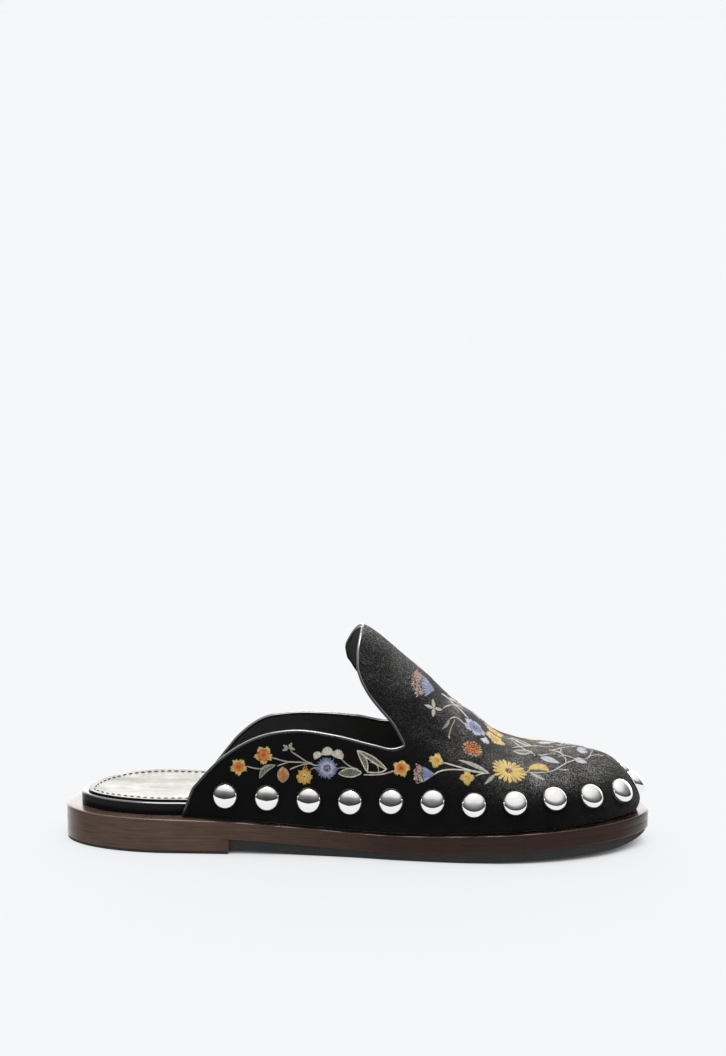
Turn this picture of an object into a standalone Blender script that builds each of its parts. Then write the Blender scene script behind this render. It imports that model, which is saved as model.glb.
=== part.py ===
"""Velvet mule: a backless loafer, left shoe, with a studded velvet upper on a low stacked heel.

X runs from heel to toe, Y to the outer (little toe) side and Z up.  The origin is the middle of the
shoe's box, on the floor.  Shapes are worked out in millimetres from the heel's back edge, on the
line from heel to toe, and placed in metres at the end.
"""
import math
from collections import namedtuple

import bmesh
import bpy
import numpy as np
from mathutils import Vector

# ---- driving dimensions, in millimetres ----
LENGTH = 261.8            # heel back to toe tip, along the sole
GAP = 0.3                 # clearance between pieces that meet
WELT_THICKNESS = 3.8
MIDSOLE_THICKNESS = 3.9
SOLE_STACK = MIDSOLE_THICKNESS + GAP + WELT_THICKNESS
LIFT_THICKNESS = 1.2      # black top piece under the heel
OUTSOLE_THICKNESS = 4.3   # rubber forepart
OUTSOLE_TIP = 0.9         # it thins to this under the toe tip,
OUTSOLE_THIN_X = 240.0    # from here on
OUTSOLE_BACK_X = 74.4
OUTSOLE_INSET = 1.0
HEEL_BREAST_X = 74.0
HEEL_INSET = 0.4
FOOTBED_THICKNESS = 5.4
FOOTBED_CUP = 2.0         # how much higher the footbed's edge is than its middle
SOCK_THICKNESS = 0.7
SOCK_INSET = 3.7          # from the footbed's edge
SOCK_RISE = 0.9           # the sock ends a little short of the footbed's cupped edge
TOE_TIP_Y = -3.0
WALL = 2.0                # velvet, padding and lining together
TUCK = 1.5                # the upper pulls in from its widest line down to the welt
TUCK_HEIGHT = 5.0
LAST_BACK_X = 40.0        # the upper's columns all stand in front of this
BALL_X = 192.0            # in front of this the upper's columns fan round the toe
TOE_CROWN_X = 238.0       # front end of the crown line
TONGUE_END_X = 130.9
THROAT_X = 152.2
THROAT_Z = 50.1
TONGUE_NOSE = 2.4         # the tongue's end stands forward on the crown line
TONGUE_SWEEP = 5.5        # and runs back towards the outer side
TONGUE_SWEEP_RISE = 1.4   # how fast the sweep sets in above the throat
TONGUE_ROUND = {-1: 15.0, 1: 20.0}   # half widths of its rounded end, inner and outer
TONGUE_BEND = 1.3         # 2 is a round end; lower is more pointed at the crown
STUD_RADIUS = 5.6
STUD_HEIGHT = 3.5
STUD_FULLNESS = 2.4       # 2 is an ellipse; higher has a flatter crown and a steeper rim
STUDS_PER_SIDE = 12
STUD_LINE_BACK_X = 60.0   # the row's line is worked out from here, behind its first stud
STUD_FIRST_X = 72.5
STUD_LAST_X = 77.0
STUD_PITCH = 18.6         # on the inner side, from the back
STUD_TIGHTENING = 0.045   # and closing up a little towards the toe

MM = 0.001
MEDIAL, LATERAL = -1, 1

# Sole edge between heel curve and toe curve: half width on the inner and on the outer side.
Width = namedtuple("Width", "x medial lateral")
WIDTHS = [
    Width(50.0, 27.0, 41.5),
    Width(80.0, 27.8, 42.0),
    Width(107.0, 28.9, 43.0),
    Width(128.0, 31.5, 45.4),
    Width(150.0, 35.4, 48.4),
    Width(170.0, 37.9, 50.2),
    Width(192.0, 39.4, 49.6),
]
HEEL_CURVE = 50.0         # length of the elliptical heel end
TOE_BEND = {MEDIAL: 0.64, LATERAL: 0.47}   # lower is blunter

# Underside of the brown sole, seen from the side: heel seat, arch, flat ball, toe spring.
Bottom = namedtuple("Bottom", "x z")
BOTTOM = [
    Bottom(0.0, 7.4), Bottom(40.0, 7.6), Bottom(74.0, 6.8), Bottom(107.0, 4.8), Bottom(132.0, 3.6),
    Bottom(148.0, 3.5), Bottom(163.0, 3.9), Bottom(180.0, 4.6), Bottom(212.0, 6.0), Bottom(240.0, 6.8),
    Bottom(262.4, 7.2),
]

# Crown line of the last, from the tongue's end down the vamp to the toe box.
Crown = namedtuple("Crown", "x y z")
CROWN = [
    Crown(52.0, 7.0, 99.5), Crown(117.2, 7.0, 99.5), Crown(133.2, 6.0, 96.2), Crown(153.8, 5.0, 81.4),
    Crown(169.4, 4.0, 67.5), Crown(187.4, 3.0, 52.0), Crown(199.6, 2.5, 44.4), Crown(214.7, 2.0, 41.4),
    Crown(227.7, 1.5, 41.6), Crown(239.7, 1.0, 41.0),
]

# Cross sections of the last: corner fullness (2 is an ellipse) and the inset of its widest line.
Section = namedtuple("Section", "x fullness inset")
SECTIONS = [
    Section(50.0, 2.25, 3.4), Section(75.0, 2.2, 1.7), Section(100.0, 2.1, 1.0),
    Section(130.0, 1.85, 1.0), Section(155.0, 1.7, 1.0), Section(190.0, 1.95, 1.2),
    Section(225.0, 2.2, 2.2), Section(250.0, 1.75, 3.3), Section(263.0, 1.45, 3.8),
]

# Collar edge of each side wall, seen from the side, from its back corner to the throat.
Edge = namedtuple("Edge", "x z")
COLLAR = {
    MEDIAL: [
        Edge(58.2, 28.8), Edge(67.5, 39.5), Edge(82.6, 50.5), Edge(101.2, 55.4), Edge(119.8, 53.8),
        Edge(138.4, 49.9), Edge(146.6, 48.5), Edge(152.2, 50.1),
    ],
    LATERAL: [
        Edge(65.3, 23.0), Edge(72.1, 32.3), Edge(84.9, 43.6), Edge(98.6, 47.0), Edge(112.6, 47.2),
        Edge(128.9, 45.8), Edge(146.6, 43.5), Edge(152.2, 45.2),
    ],
}
WALL_BACK_X = {MEDIAL: 53.5, LATERAL: 60.0}
LEAN_LENGTH = 45.0        # the wall's back edge leans forward, and this far on its columns stand upright

# Lower edge of the tongue, seen from the side, from its end to the throat.
TONGUE = {
    MEDIAL: [
        Edge(130.9, 81.6), Edge(132.2, 78.1), Edge(134.9, 73.2), Edge(140.7, 65.9), Edge(147.0, 58.9),
        Edge(152.2, 50.1),
    ],
    LATERAL: [
        Edge(127.3, 76.6), Edge(129.4, 72.2), Edge(134.2, 66.4), Edge(140.6, 60.5), Edge(147.0, 53.5),
        Edge(152.2, 45.2),
    ],
}

# Stud centres above the welt, measured up the upper.  The run is x up to the ball, and in front of it
# counts hundredths of the way round the toe.
StudLevel = namedtuple("StudLevel", "run level")
STUD_LEVELS = [
    StudLevel(60.0, 11.4), StudLevel(72.5, 11.7), StudLevel(91.0, 12.3), StudLevel(109.0, 12.9),
    StudLevel(127.0, 13.8), StudLevel(145.0, 15.2), StudLevel(163.0, 15.4), StudLevel(181.0, 13.8),
    StudLevel(198.0, 13.7), StudLevel(220.0, 14.3), StudLevel(245.0, 13.2), StudLevel(270.0, 12.3),
    StudLevel(292.0, 11.9),
]

# Inset of the footbed from the sole edge.
Footbed = namedtuple("Footbed", "x inset")
FOOTBED = [
    Footbed(0.0, 6.8), Footbed(40.0, 6.4), Footbed(56.0, 7.6), Footbed(85.0, 5.9), Footbed(200.0, 5.9),
    Footbed(240.0, 8.2), Footbed(263.0, 10.4),
]

# ---- mesh density ----
SPINE_END = 0.8           # a plate's middle line stops this share of its half width from each end
END_STEPS = 14            # points round each half of the heel or toe curve
SIDE_STEPS = 14           # points along each straight side
WALL_COLUMNS = 12
TONGUE_COLUMNS = 6
VAMP_COLUMNS = 7
TOE_COLUMNS = 9
WALL_ROWS = 7             # rows from the welt up to the throat's level
TOP_ROWS = 7              # rows from there to the crown
PROFILE_STEPS = 90
TUCK_STEPS = 10
LAST_STEPS = 80           # fine outline that the last stands on
STUD_LINE_STEPS = 60

# ---- colours ----
Finish = namedtuple("Finish", "colour roughness metallic")
FINISHES = {
    "velvet": Finish((0.012, 0.012, 0.013), 0.9, 0.0),
    "sole_leather": Finish((0.075, 0.042, 0.034), 0.42, 0.0),
    "black_leather": Finish((0.012, 0.012, 0.013), 0.3, 0.0),
    "metallic_sock": Finish((0.62, 0.60, 0.54), 0.38, 0.7),
    "black_rubber": Finish((0.02, 0.02, 0.021), 0.7, 0.0),
    "chrome": Finish((0.86, 0.86, 0.87), 0.08, 1.0),
}


def smooth(table, column, x):
    """Smooth curve through one column of a table, looked up by its first column."""
    xs = np.array([row[0] for row in table])
    ys = np.array([getattr(row, column) for row in table])
    slopes = np.gradient(ys, xs)
    x = np.clip(x, xs[0], xs[-1])
    i = np.clip(np.searchsorted(xs, x) - 1, 0, len(xs) - 2)
    step = xs[i + 1] - xs[i]
    f = (x - xs[i]) / step
    near = (1 + 2 * f) * (1 - f) ** 2 * ys[i] + f * (1 - f) ** 2 * step * slopes[i]
    far = f * f * (3 - 2 * f) * ys[i + 1] + f * f * (f - 1) * step * slopes[i + 1]
    return near + far


def sole_bottom(x):
    return smooth(BOTTOM, "z", x)


def outsole_bottom(x):
    """The rubber forepart is ground flat where it touches the floor."""
    thinned = min(max((x - OUTSOLE_THIN_X) / (LENGTH - OUTSOLE_THIN_X), 0.0), 1.0) ** 2
    thickness = OUTSOLE_THICKNESS + (OUTSOLE_TIP - OUTSOLE_THICKNESS) * thinned
    return max(sole_bottom(x) - GAP - thickness, 0.0)


def welt_top(x):
    return sole_bottom(x) + SOLE_STACK


def footbed_top(x, rise):
    """Height of the footbed; rise is 0 in its middle and 1 at its edge."""
    return welt_top(x) + GAP + FOOTBED_THICKNESS - FOOTBED_CUP * (1 - rise ** 2)


# ---- outlines ----
def half_outline(side, end_steps, side_steps):
    """Sole edge on one side, from the heel's back to the toe tip, as rows of x, y."""
    column = "medial" if side == MEDIAL else "lateral"
    heel_width = getattr(WIDTHS[0], column)
    ball = WIDTHS[-1]
    toe_length = LENGTH - ball.x
    points = []
    for turn in np.linspace(0, math.pi / 2, end_steps, endpoint=False):
        points.append((HEEL_CURVE * (1 - math.cos(turn)), side * heel_width * math.sin(turn)))
    for x in np.linspace(HEEL_CURVE, ball.x, side_steps, endpoint=False):
        points.append((x, side * smooth(WIDTHS, column, x)))
    reach = side * getattr(ball, column) - TOE_TIP_Y
    for turn in np.linspace(0, math.pi / 2, end_steps + 1):
        width = max(math.cos(turn), 0.0) ** (2 * TOE_BEND[side])
        points.append((ball.x + toe_length * math.sin(turn), TOE_TIP_Y + reach * width))
    return np.array(points)


def full_outline(end_steps=END_STEPS, side_steps=SIDE_STEPS):
    """Closed sole edge: up the inner side, round the toe and back down the outer side."""
    inner = half_outline(MEDIAL, end_steps, side_steps)
    outer = half_outline(LATERAL, end_steps, side_steps)
    return np.vstack([inner, outer[-2:0:-1]])


def inset_outline(points, inset):
    """Closed outline moved inwards by inset(x)."""
    along = np.roll(points, -1, axis=0) - np.roll(points, 1, axis=0)
    along /= np.linalg.norm(along, axis=1)[:, None]
    inwards = np.column_stack([-along[:, 1], along[:, 0]])
    amount = np.array([inset(x) for x in points[:, 0]])
    return points + inwards * amount[:, None]


def cut_outline(points, keep):
    """Part of a closed outline where keep(x) holds, in order, beginning after the part cut away."""
    kept = np.array([keep(x) for x in points[:, 0]])
    starts = [i for i in range(len(points)) if kept[i] and not kept[i - 1]]
    order = [(starts[0] + k) % len(points) for k in range(len(points))]
    return np.array([points[i] for i in order if kept[i]])


# ---- making objects ----
def clear_scene():
    for item in list(bpy.data.objects):
        bpy.data.objects.remove(item, do_unlink=True)


def new_collection(name):
    collection = bpy.data.collections.new(name)
    bpy.context.scene.collection.children.link(collection)
    return collection


def new_material(name):
    finish = FINISHES[name]
    material = bpy.data.materials.new(name)
    material.use_nodes = True
    shader = material.node_tree.nodes["Principled BSDF"]
    shader.inputs["Base Color"].default_value = (*finish.colour, 1.0)
    shader.inputs["Roughness"].default_value = finish.roughness
    shader.inputs["Metallic"].default_value = finish.metallic
    return material


def box_middle():
    """Middle of the sole's box, in x and y."""
    outline = full_outline(LAST_STEPS, LAST_STEPS)
    return (outline.min(axis=0) + outline.max(axis=0)) / 2


def place(points):
    """Millimetres from the heel's back edge to metres from the origin."""
    middle = box_middle()
    points = np.asarray(points, dtype=float)
    return (points - np.array([middle[0], middle[1], 0.0])) * MM


def add_object(name, points, faces, material, collection):
    """Mesh object from placed points; faces are turned outwards and shaded smooth up to 35 degrees."""
    mesh = bpy.data.meshes.new(name)
    mesh.from_pydata([tuple(p) for p in points], [], faces)
    cage = bmesh.new()
    cage.from_mesh(mesh)
    bmesh.ops.remove_doubles(cage, verts=cage.verts, dist=1e-6)
    bmesh.ops.dissolve_degenerate(cage, edges=cage.edges, dist=1e-7)
    bmesh.ops.recalc_face_normals(cage, faces=cage.faces)
    cage.to_mesh(mesh)
    cage.free()
    mesh.shade_smooth()
    mesh.set_sharp_from_angle(angle=math.radians(35))
    mesh.materials.append(material)
    item = bpy.data.objects.new(name, mesh)
    collection.objects.link(item)
    return item


def plate(name, outline, low, high, rings, material, collection):
    """Solid between two surfaces over an outline, low(x, rise) and high(x, rise).

    Rings of points close in on the plate's middle line, where points that face each other across
    the outline meet; rise is 1 on the outline and 0 on the middle line.
    """
    count = len(outline)
    middle_y = (outline[:, 1].max() + outline[:, 1].min()) / 2
    whole = outline[0, 0] == outline[:, 0].min()
    facing = ((0 if whole else -1) - np.arange(count)) % count
    x_low, x_high = outline[:, 0].min(), outline[:, 0].max()
    reach = SPINE_END * (outline[:, 1].max() - outline[:, 1].min()) / 2
    middle_x = (outline[:, 0] + outline[facing, 0]) / 2
    spine = np.column_stack([
        np.clip(middle_x, x_low + reach, x_high - reach),
        np.full(count, middle_y),
    ])
    points = []
    for surface in (low, high):
        for ring in range(rings + 1):
            share = ring / rings
            flat = outline + (spine - outline) * share
            for x, y in flat:
                points.append((x, y, surface(x, 1 - share)))
    faces = []
    layer = count * (rings + 1)
    for i in range(count):
        j = (i + 1) % count
        faces.append((i, j, layer + j, layer + i))
        for ring in range(rings):
            a, b = ring * count, (ring + 1) * count
            faces.append((a + i, b + i, b + j, a + j))
            faces.append((layer + a + i, layer + a + j, layer + b + j, layer + b + i))
    return add_object(name, place(points), faces, material, collection)


# ---- sole and footbed ----
def make_sole(materials, collection):
    outline = full_outline()
    plate("midsole", outline, lambda x, rise: sole_bottom(x),
          lambda x, rise: sole_bottom(x) + MIDSOLE_THICKNESS, 2, materials["sole_leather"], collection)
    plate("welt", outline, lambda x, rise: welt_top(x) - WELT_THICKNESS,
          lambda x, rise: welt_top(x), 2, materials["sole_leather"], collection)
    forepart = inset_outline(outline, lambda x: OUTSOLE_INSET)
    forepart = cut_outline(forepart, lambda x: x > OUTSOLE_BACK_X)
    plate("outsole", forepart, lambda x, rise: outsole_bottom(x),
          lambda x, rise: sole_bottom(x) - GAP, 2, materials["black_rubber"], collection)


def make_heel(materials, collection):
    """Heel block and its black top piece, cut straight across at the breast."""
    fine = full_outline(END_STEPS, 4 * SIDE_STEPS)
    seat = inset_outline(fine, lambda x: HEEL_INSET)
    seat = cut_outline(seat, lambda x: x < HEEL_BREAST_X)
    block_low = LIFT_THICKNESS + GAP
    plate("heel", seat, lambda x, rise: block_low,
          lambda x, rise: sole_bottom(x) - GAP, 2, materials["sole_leather"], collection)
    plate("heel_lift", seat, lambda x, rise: 0.0,
          lambda x, rise: LIFT_THICKNESS, 1, materials["black_rubber"], collection)


def footbed_inset(x):
    return smooth(FOOTBED, "inset", x)


def make_footbed(materials, collection):
    outline = full_outline()
    board = inset_outline(outline, footbed_inset)
    plate("footbed", board, lambda x, rise: welt_top(x) + GAP, footbed_top, 4,
          materials["black_leather"], collection)
    sock = inset_outline(outline, lambda x: footbed_inset(x) + SOCK_INSET)
    plate("insole_sock", sock, lambda x, rise: footbed_top(x, SOCK_RISE * rise) + GAP,
          lambda x, rise: footbed_top(x, SOCK_RISE * rise) + GAP + SOCK_THICKNESS, 3,
          materials["metallic_sock"], collection)


# ---- upper ----
class Last:
    """Outer surface of the upper, as columns that run from the welt up to the crown line.

    A column is named by its x behind the ball, and in front of it by how far it stands round the
    toe, from 0 at the ball to 1 at the toe tip.
    """

    def __init__(self):
        outline = full_outline(LAST_STEPS, LAST_STEPS)
        widest = inset_outline(outline, lambda x: smooth(SECTIONS, "inset", x))
        tip = int(np.argmax(outline[:, 0]))
        inner = np.arange(0, tip + 1)
        outer = np.concatenate([[0], np.arange(len(outline) - 1, tip - 1, -1)])
        self.edge = {MEDIAL: outline[inner], LATERAL: outline[outer]}
        self.widest = {MEDIAL: widest[inner], LATERAL: widest[outer]}

    def foot(self, side, x, toe):
        """Point of the widest line where a column stands, and the sole station beside it."""
        line = self.widest[side]
        if toe == 0:
            start = int(np.argmax(line[:, 0] > LAST_BACK_X))
            y = np.interp(x, line[start:, 0], line[start:, 1])
            return np.array([x, y]), x
        ball = int(np.argmax(line[:, 0] > BALL_X))
        run = line[ball:]
        steps = np.concatenate([[0], np.cumsum(np.linalg.norm(np.diff(run, axis=0), axis=1))])
        where = toe * steps[-1]
        point = np.array([np.interp(where, steps, run[:, k]) for k in (0, 1)])
        return point, np.interp(where, steps, self.edge[side][ball:, 0])

    def profile(self, side, x, toe=0.0):
        """One column as points from the welt to the crown, with their girth from the welt up."""
        foot, station = self.foot(side, x, toe)
        crown_x = x + (TOE_CROWN_X - BALL_X) * math.sin(toe * math.pi / 2) if toe else x
        crown = np.array([crown_x, smooth(CROWN, "y", crown_x)])
        crown_z = smooth(CROWN, "z", crown_x)
        power = 2 / smooth(SECTIONS, "fullness", station)
        base_z = welt_top(station) + GAP
        widest_z = base_z + TUCK_HEIGHT
        reach = np.linalg.norm(foot - crown)
        points = []
        for drop in np.linspace(1, 0, TUCK_STEPS, endpoint=False):
            share = 1 - TUCK * drop ** 2 / reach
            flat = crown + (foot - crown) * share
            points.append((flat[0], flat[1], widest_z - TUCK_HEIGHT * drop))
        for turn in np.linspace(0, math.pi / 2, PROFILE_STEPS):
            share = max(math.cos(turn), 0.0) ** power
            flat = crown + (foot - crown) * share
            points.append((flat[0], flat[1], widest_z + (crown_z - widest_z) * math.sin(turn) ** power))
        points = np.array(points)
        points[:, 0] += self.rake(side, x, toe) * (points[:, 2] - base_z)
        above_throat = np.clip(TONGUE_SWEEP_RISE * (points[:, 2] - THROAT_Z) / (crown_z - THROAT_Z), 0, 1)
        aside = np.clip(side * (points[:, 1] - crown[1]) / TONGUE_ROUND[side], 0, 1) ** TONGUE_BEND
        end = self.nearness_to_tongue_end(x, toe)
        points[:, 0] += end * TONGUE_NOSE * (1 - aside)
        if side == LATERAL:
            points[:, 0] -= end * TONGUE_SWEEP * aside * above_throat
        girth = np.concatenate([[0], np.cumsum(np.linalg.norm(np.diff(points, axis=0), axis=1))])
        return points, girth

    def rake(self, side, x, toe):
        """The back columns lean forwards, so that the first one is the wall's back edge."""
        if toe:
            return 0.0
        back = WALL_BACK_X[side]
        lean = (COLLAR[side][0].x - back) / (COLLAR[side][0].z - welt_top(back) - GAP)
        return lean * max(0.0, 1 - (x - back) / LEAN_LENGTH) ** 2

    def nearness_to_tongue_end(self, x, toe):
        if toe or x > THROAT_X:
            return 0.0
        return min(1.0, (THROAT_X - x) / (THROAT_X - TONGUE_END_X)) ** 2

    def girth_at_edge(self, points, girth, edge):
        """Girth at which a column first rises above an edge drawn in side view."""
        above = points[:, 2] - smooth(edge, "z", points[:, 0])
        k = int(np.argmax(above > 0))
        share = above[k - 1] / (above[k - 1] - above[k])
        return girth[k - 1] + share * (girth[k] - girth[k - 1])


def along(points, girth, where):
    """Point of a column at a girth."""
    return [np.interp(where, girth, points[:, k]) for k in range(3)]


def upper_grid(last):
    """Open outer surface of the upper as points and faces; both sides share the crown line."""
    points, faces = [], []

    def strip(columns, flip):
        """Faces between columns of points that have equal counts."""
        start = len(points)
        rows = len(columns[0])
        for column in columns:
            points.extend(column)
        for c in range(len(columns) - 1):
            for r in range(rows - 1):
                a = start + c * rows + r
                b = a + rows
                face = (a, b, b + 1, a + 1)
                faces.append(face[::-1] if flip else face)

    for side in (MEDIAL, LATERAL):
        flip = side == LATERAL
        wall, tongue, vamp = [], [], []
        for x in np.linspace(WALL_BACK_X[side], THROAT_X, WALL_COLUMNS + 1):
            profile, girth = last.profile(side, x)
            top = last.girth_at_edge(profile, girth, COLLAR[side])
            if x == THROAT_X:
                top = last.girth_at_edge(profile, girth, TONGUE[side])
            wall.append([along(profile, girth, g) for g in np.linspace(0, top, WALL_ROWS + 1)])
        for x in np.linspace(TONGUE_END_X, THROAT_X, TONGUE_COLUMNS + 1):
            profile, girth = last.profile(side, x)
            low = last.girth_at_edge(profile, girth, TONGUE[side])
            tongue.append([along(profile, girth, g) for g in np.linspace(low, girth[-1], TOP_ROWS + 1)])
        spots = [(x, 0.0) for x in np.linspace(THROAT_X, BALL_X, VAMP_COLUMNS + 1)]
        spots += [(BALL_X, toe) for toe in np.linspace(0, 1, TOE_COLUMNS + 1)[1:]]
        profile, girth = last.profile(side, THROAT_X)
        throat = last.girth_at_edge(profile, girth, TONGUE[side]) / girth[-1]
        even = WALL_ROWS / (WALL_ROWS + TOP_ROWS)
        for number, (x, toe) in enumerate(spots):
            profile, girth = last.profile(side, x, toe)
            blend = min(1.0, number / VAMP_COLUMNS)
            split = girth[-1] * (throat + (even - throat) * blend)
            rows = np.concatenate([
                np.linspace(0, split, WALL_ROWS + 1),
                np.linspace(split, girth[-1], TOP_ROWS + 1)[1:],
            ])
            vamp.append([along(profile, girth, g) for g in rows])
        strip(wall, flip)
        strip(tongue, flip)
        strip(vamp, flip)
    return points, faces


def make_upper(last, materials, collection):
    points, faces = upper_grid(last)
    upper = add_object("upper", place(points), faces, materials["velvet"], collection)
    wall = upper.modifiers.new("wall", "SOLIDIFY")
    wall.thickness = WALL * MM
    wall.offset = -1.0
    wall.use_even_offset = True
    return upper


# ---- studs ----
def stud_line(last):
    """Points and outward normals along the line of the studs, from inner to outer side."""
    spots = [(x, 0.0) for x in np.linspace(STUD_LINE_BACK_X, BALL_X, STUD_LINE_STEPS)]
    spots += [(BALL_X, toe) for toe in np.linspace(0, 1, STUD_LINE_STEPS)[1:]]
    line, normals = [], []
    for side in (MEDIAL, LATERAL):
        rows = []
        for x, toe in spots:
            profile, girth = last.profile(side, x, toe)
            level = smooth(STUD_LEVELS, "level", x + 100 * toe)
            rows.append([along(profile, girth, level + step) for step in (-0.5, 0.0, 0.5)])
        rows = np.array(rows)
        across = np.gradient(rows[:, 1], axis=0)
        upwards = rows[:, 2] - rows[:, 0]
        out = np.cross(across, upwards) * -side
        out /= np.linalg.norm(out, axis=1)[:, None]
        line.append(rows[:, 1])
        normals.append(out)
    line = np.vstack([line[0], line[1][-2::-1]])
    normals = np.vstack([normals[0], normals[1][-2::-1]])
    return line, normals


def stud_mesh(material):
    """Half dome with a flat foot."""
    mesh = bpy.data.meshes.new("stud")
    cage = bmesh.new()
    bmesh.ops.create_uvsphere(cage, u_segments=12, v_segments=8, radius=STUD_RADIUS * MM)
    everything = cage.verts[:] + cage.edges[:] + cage.faces[:]
    bmesh.ops.bisect_plane(cage, geom=everything, plane_co=(0, 0, 0), plane_no=(0, 0, -1), clear_outer=True)
    foot = [edge for edge in cage.edges if edge.is_boundary]
    bmesh.ops.contextual_create(cage, geom=foot)
    for vert in cage.verts:
        if vert.co.z > 1e-6:
            reach = min(vert.co.xy.length / (STUD_RADIUS * MM), 1.0)
            vert.co.z = STUD_HEIGHT * MM * (1 - reach ** STUD_FULLNESS) ** (1 / STUD_FULLNESS)
    bmesh.ops.recalc_face_normals(cage, faces=cage.faces)
    cage.to_mesh(mesh)
    cage.free()
    mesh.shade_smooth()
    mesh.set_sharp_from_angle(angle=math.radians(50))
    mesh.materials.append(material)
    return mesh


def make_studs(last, materials, collection):
    """Studs square to the upper with their feet just off its surface, evenly spaced on each side."""
    line, normals = stud_line(last)
    run = np.concatenate([[0], np.cumsum(np.linalg.norm(np.diff(line, axis=0), axis=1))])
    half = len(line) // 2
    first = np.interp(STUD_FIRST_X, line[:half, 0], run[:half])
    last_run = np.interp(-STUD_LAST_X, -line[half:, 0], run[half:])
    steps = np.arange(STUDS_PER_SIDE)
    inner = first + STUD_PITCH * steps - STUD_TIGHTENING * steps ** 2
    outer = np.linspace(inner[-1], last_run, STUDS_PER_SIDE + 1)[1:]
    mesh = stud_mesh(materials["chrome"])
    for number, where in enumerate([*inner, *outer], start=1):
        spot = np.array([np.interp(where, run, line[:, k]) for k in range(3)])
        out = np.array([np.interp(where, run, normals[:, k]) for k in range(3)])
        out /= np.linalg.norm(out)
        stud = bpy.data.objects.new(f"stud_{number:02d}", mesh)
        stud.location = place([spot + out * GAP])[0]
        stud.rotation_mode = "QUATERNION"
        stud.rotation_quaternion = Vector(out.tolist()).to_track_quat("Z", "Y")
        collection.objects.link(stud)


def main():
    clear_scene()
    collection = new_collection("velvet_mule")
    materials = {name: new_material(name) for name in FINISHES}
    last = Last()
    make_sole(materials, collection)
    make_heel(materials, collection)
    make_footbed(materials, collection)
    make_upper(last, materials, collection)
    make_studs(last, materials, collection)


main()
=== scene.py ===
import math

import bpy
import numpy as np
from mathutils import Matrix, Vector, noise
from mathutils.bvhtree import BVHTree


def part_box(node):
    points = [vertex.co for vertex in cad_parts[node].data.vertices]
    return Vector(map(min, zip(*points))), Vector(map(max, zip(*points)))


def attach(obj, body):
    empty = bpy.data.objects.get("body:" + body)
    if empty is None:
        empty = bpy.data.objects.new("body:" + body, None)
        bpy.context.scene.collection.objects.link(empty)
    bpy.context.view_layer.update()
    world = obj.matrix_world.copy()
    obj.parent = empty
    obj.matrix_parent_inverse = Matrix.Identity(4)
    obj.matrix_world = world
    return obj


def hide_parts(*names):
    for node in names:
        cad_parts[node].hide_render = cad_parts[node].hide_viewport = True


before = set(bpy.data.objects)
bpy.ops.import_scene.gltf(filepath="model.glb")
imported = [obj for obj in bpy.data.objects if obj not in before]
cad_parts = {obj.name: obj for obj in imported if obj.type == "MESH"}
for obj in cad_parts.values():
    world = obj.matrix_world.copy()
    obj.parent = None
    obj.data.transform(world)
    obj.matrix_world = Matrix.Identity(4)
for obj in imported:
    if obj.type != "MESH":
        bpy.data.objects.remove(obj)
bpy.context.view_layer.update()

# Sizes are in millimetres from the back of the heel, on the line from heel to toe:
# x to the toe, y to the outer side, z up from the floor.
inner, outer = -1, 1
mm = 0.001

sole = {
    "length": 261.8,
    "heelCurve": 50.0,                       # length of the rounded heel end
    "toeTipY": -3.0,
    "toeBend": {inner: 0.64, outer: 0.47},   # lower is blunter
    "stackHeight": 8.0,                      # midsole and welt together
    "bottom": {
        "x": [0, 40, 74, 107, 132, 148, 163, 180, 212, 240, 262.4],
        "z": [7.4, 7.6, 6.8, 4.8, 3.6, 3.5, 3.9, 4.6, 6.0, 6.8, 7.2],
    },
    "width": {
        "x": [50, 80, 107, 128, 150, 170, 192],
        inner: [27.0, 27.8, 28.9, 31.5, 35.4, 37.9, 39.4],
        outer: [41.5, 42.0, 43.0, 45.4, 48.4, 50.2, 49.6],
    },
}

last = {
    "backX": {inner: 53.5, outer: 60.0},     # the wall's back corner, on the welt
    "leanLength": 45.0,
    "tuck": 1.5,                             # how far the upper pulls in at the welt
    "tuckHeight": 5.0,
    "gap": 0.3,
    "frontOfX": 40.0,                        # all columns of the upper stand in front of this
    "ballX": 192.0,                          # and in front of this they fan round the toe
    "crownEndX": 238.0,
    "throatX": 152.2,
    "throatZ": 50.1,
    "tongueEndX": 130.9,
    "tongueNose": 2.4,
    "tongueSweep": 5.5,
    "sweepRise": 1.4,                        # how fast the sweep sets in above the throat
    "tongueBend": 1.3,
    "tongueRound": {inner: 15.0, outer: 20.0},
    "outlineSteps": 80, "tuckSteps": 10, "girthSteps": 90,
    "crown": {
        "x": [52, 117.2, 133.2, 153.8, 169.4, 187.4, 199.6, 214.7, 227.7, 239.7],
        "y": [7, 7, 6, 5, 4, 3, 2.5, 2, 1.5, 1],
        "z": [99.5, 99.5, 96.2, 81.4, 67.5, 52, 44.4, 41.4, 41.6, 41],
    },
    "section": {
        "x": [50, 75, 100, 130, 155, 190, 225, 250, 263],
        "fullness": [2.25, 2.2, 2.1, 1.85, 1.7, 1.95, 2.2, 1.75, 1.45],
        "inset": [3.4, 1.7, 1.0, 1.0, 1.0, 1.2, 2.2, 3.3, 3.8],
    },
    "collar": {
        inner: {"x": [58.2, 67.5, 82.6, 101.2, 119.8, 138.4, 146.6, 152.2],
                "z": [28.8, 39.5, 50.5, 55.4, 53.8, 49.9, 48.5, 50.1]},
        outer: {"x": [65.3, 72.1, 84.9, 98.6, 112.6, 128.9, 146.6, 152.2],
                "z": [23, 32.3, 43.6, 47, 47.2, 45.8, 43.5, 45.2]},
    },
    "tongue": {
        inner: {"x": [130.9, 132.2, 134.9, 140.7, 147, 152.2], "z": [81.6, 78.1, 73.2, 65.9, 58.9, 50.1]},
        outer: {"x": [127.3, 129.4, 134.2, 140.6, 147, 152.2], "z": [76.6, 72.2, 66.4, 60.5, 53.5, 45.2]},
    },
}


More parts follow.
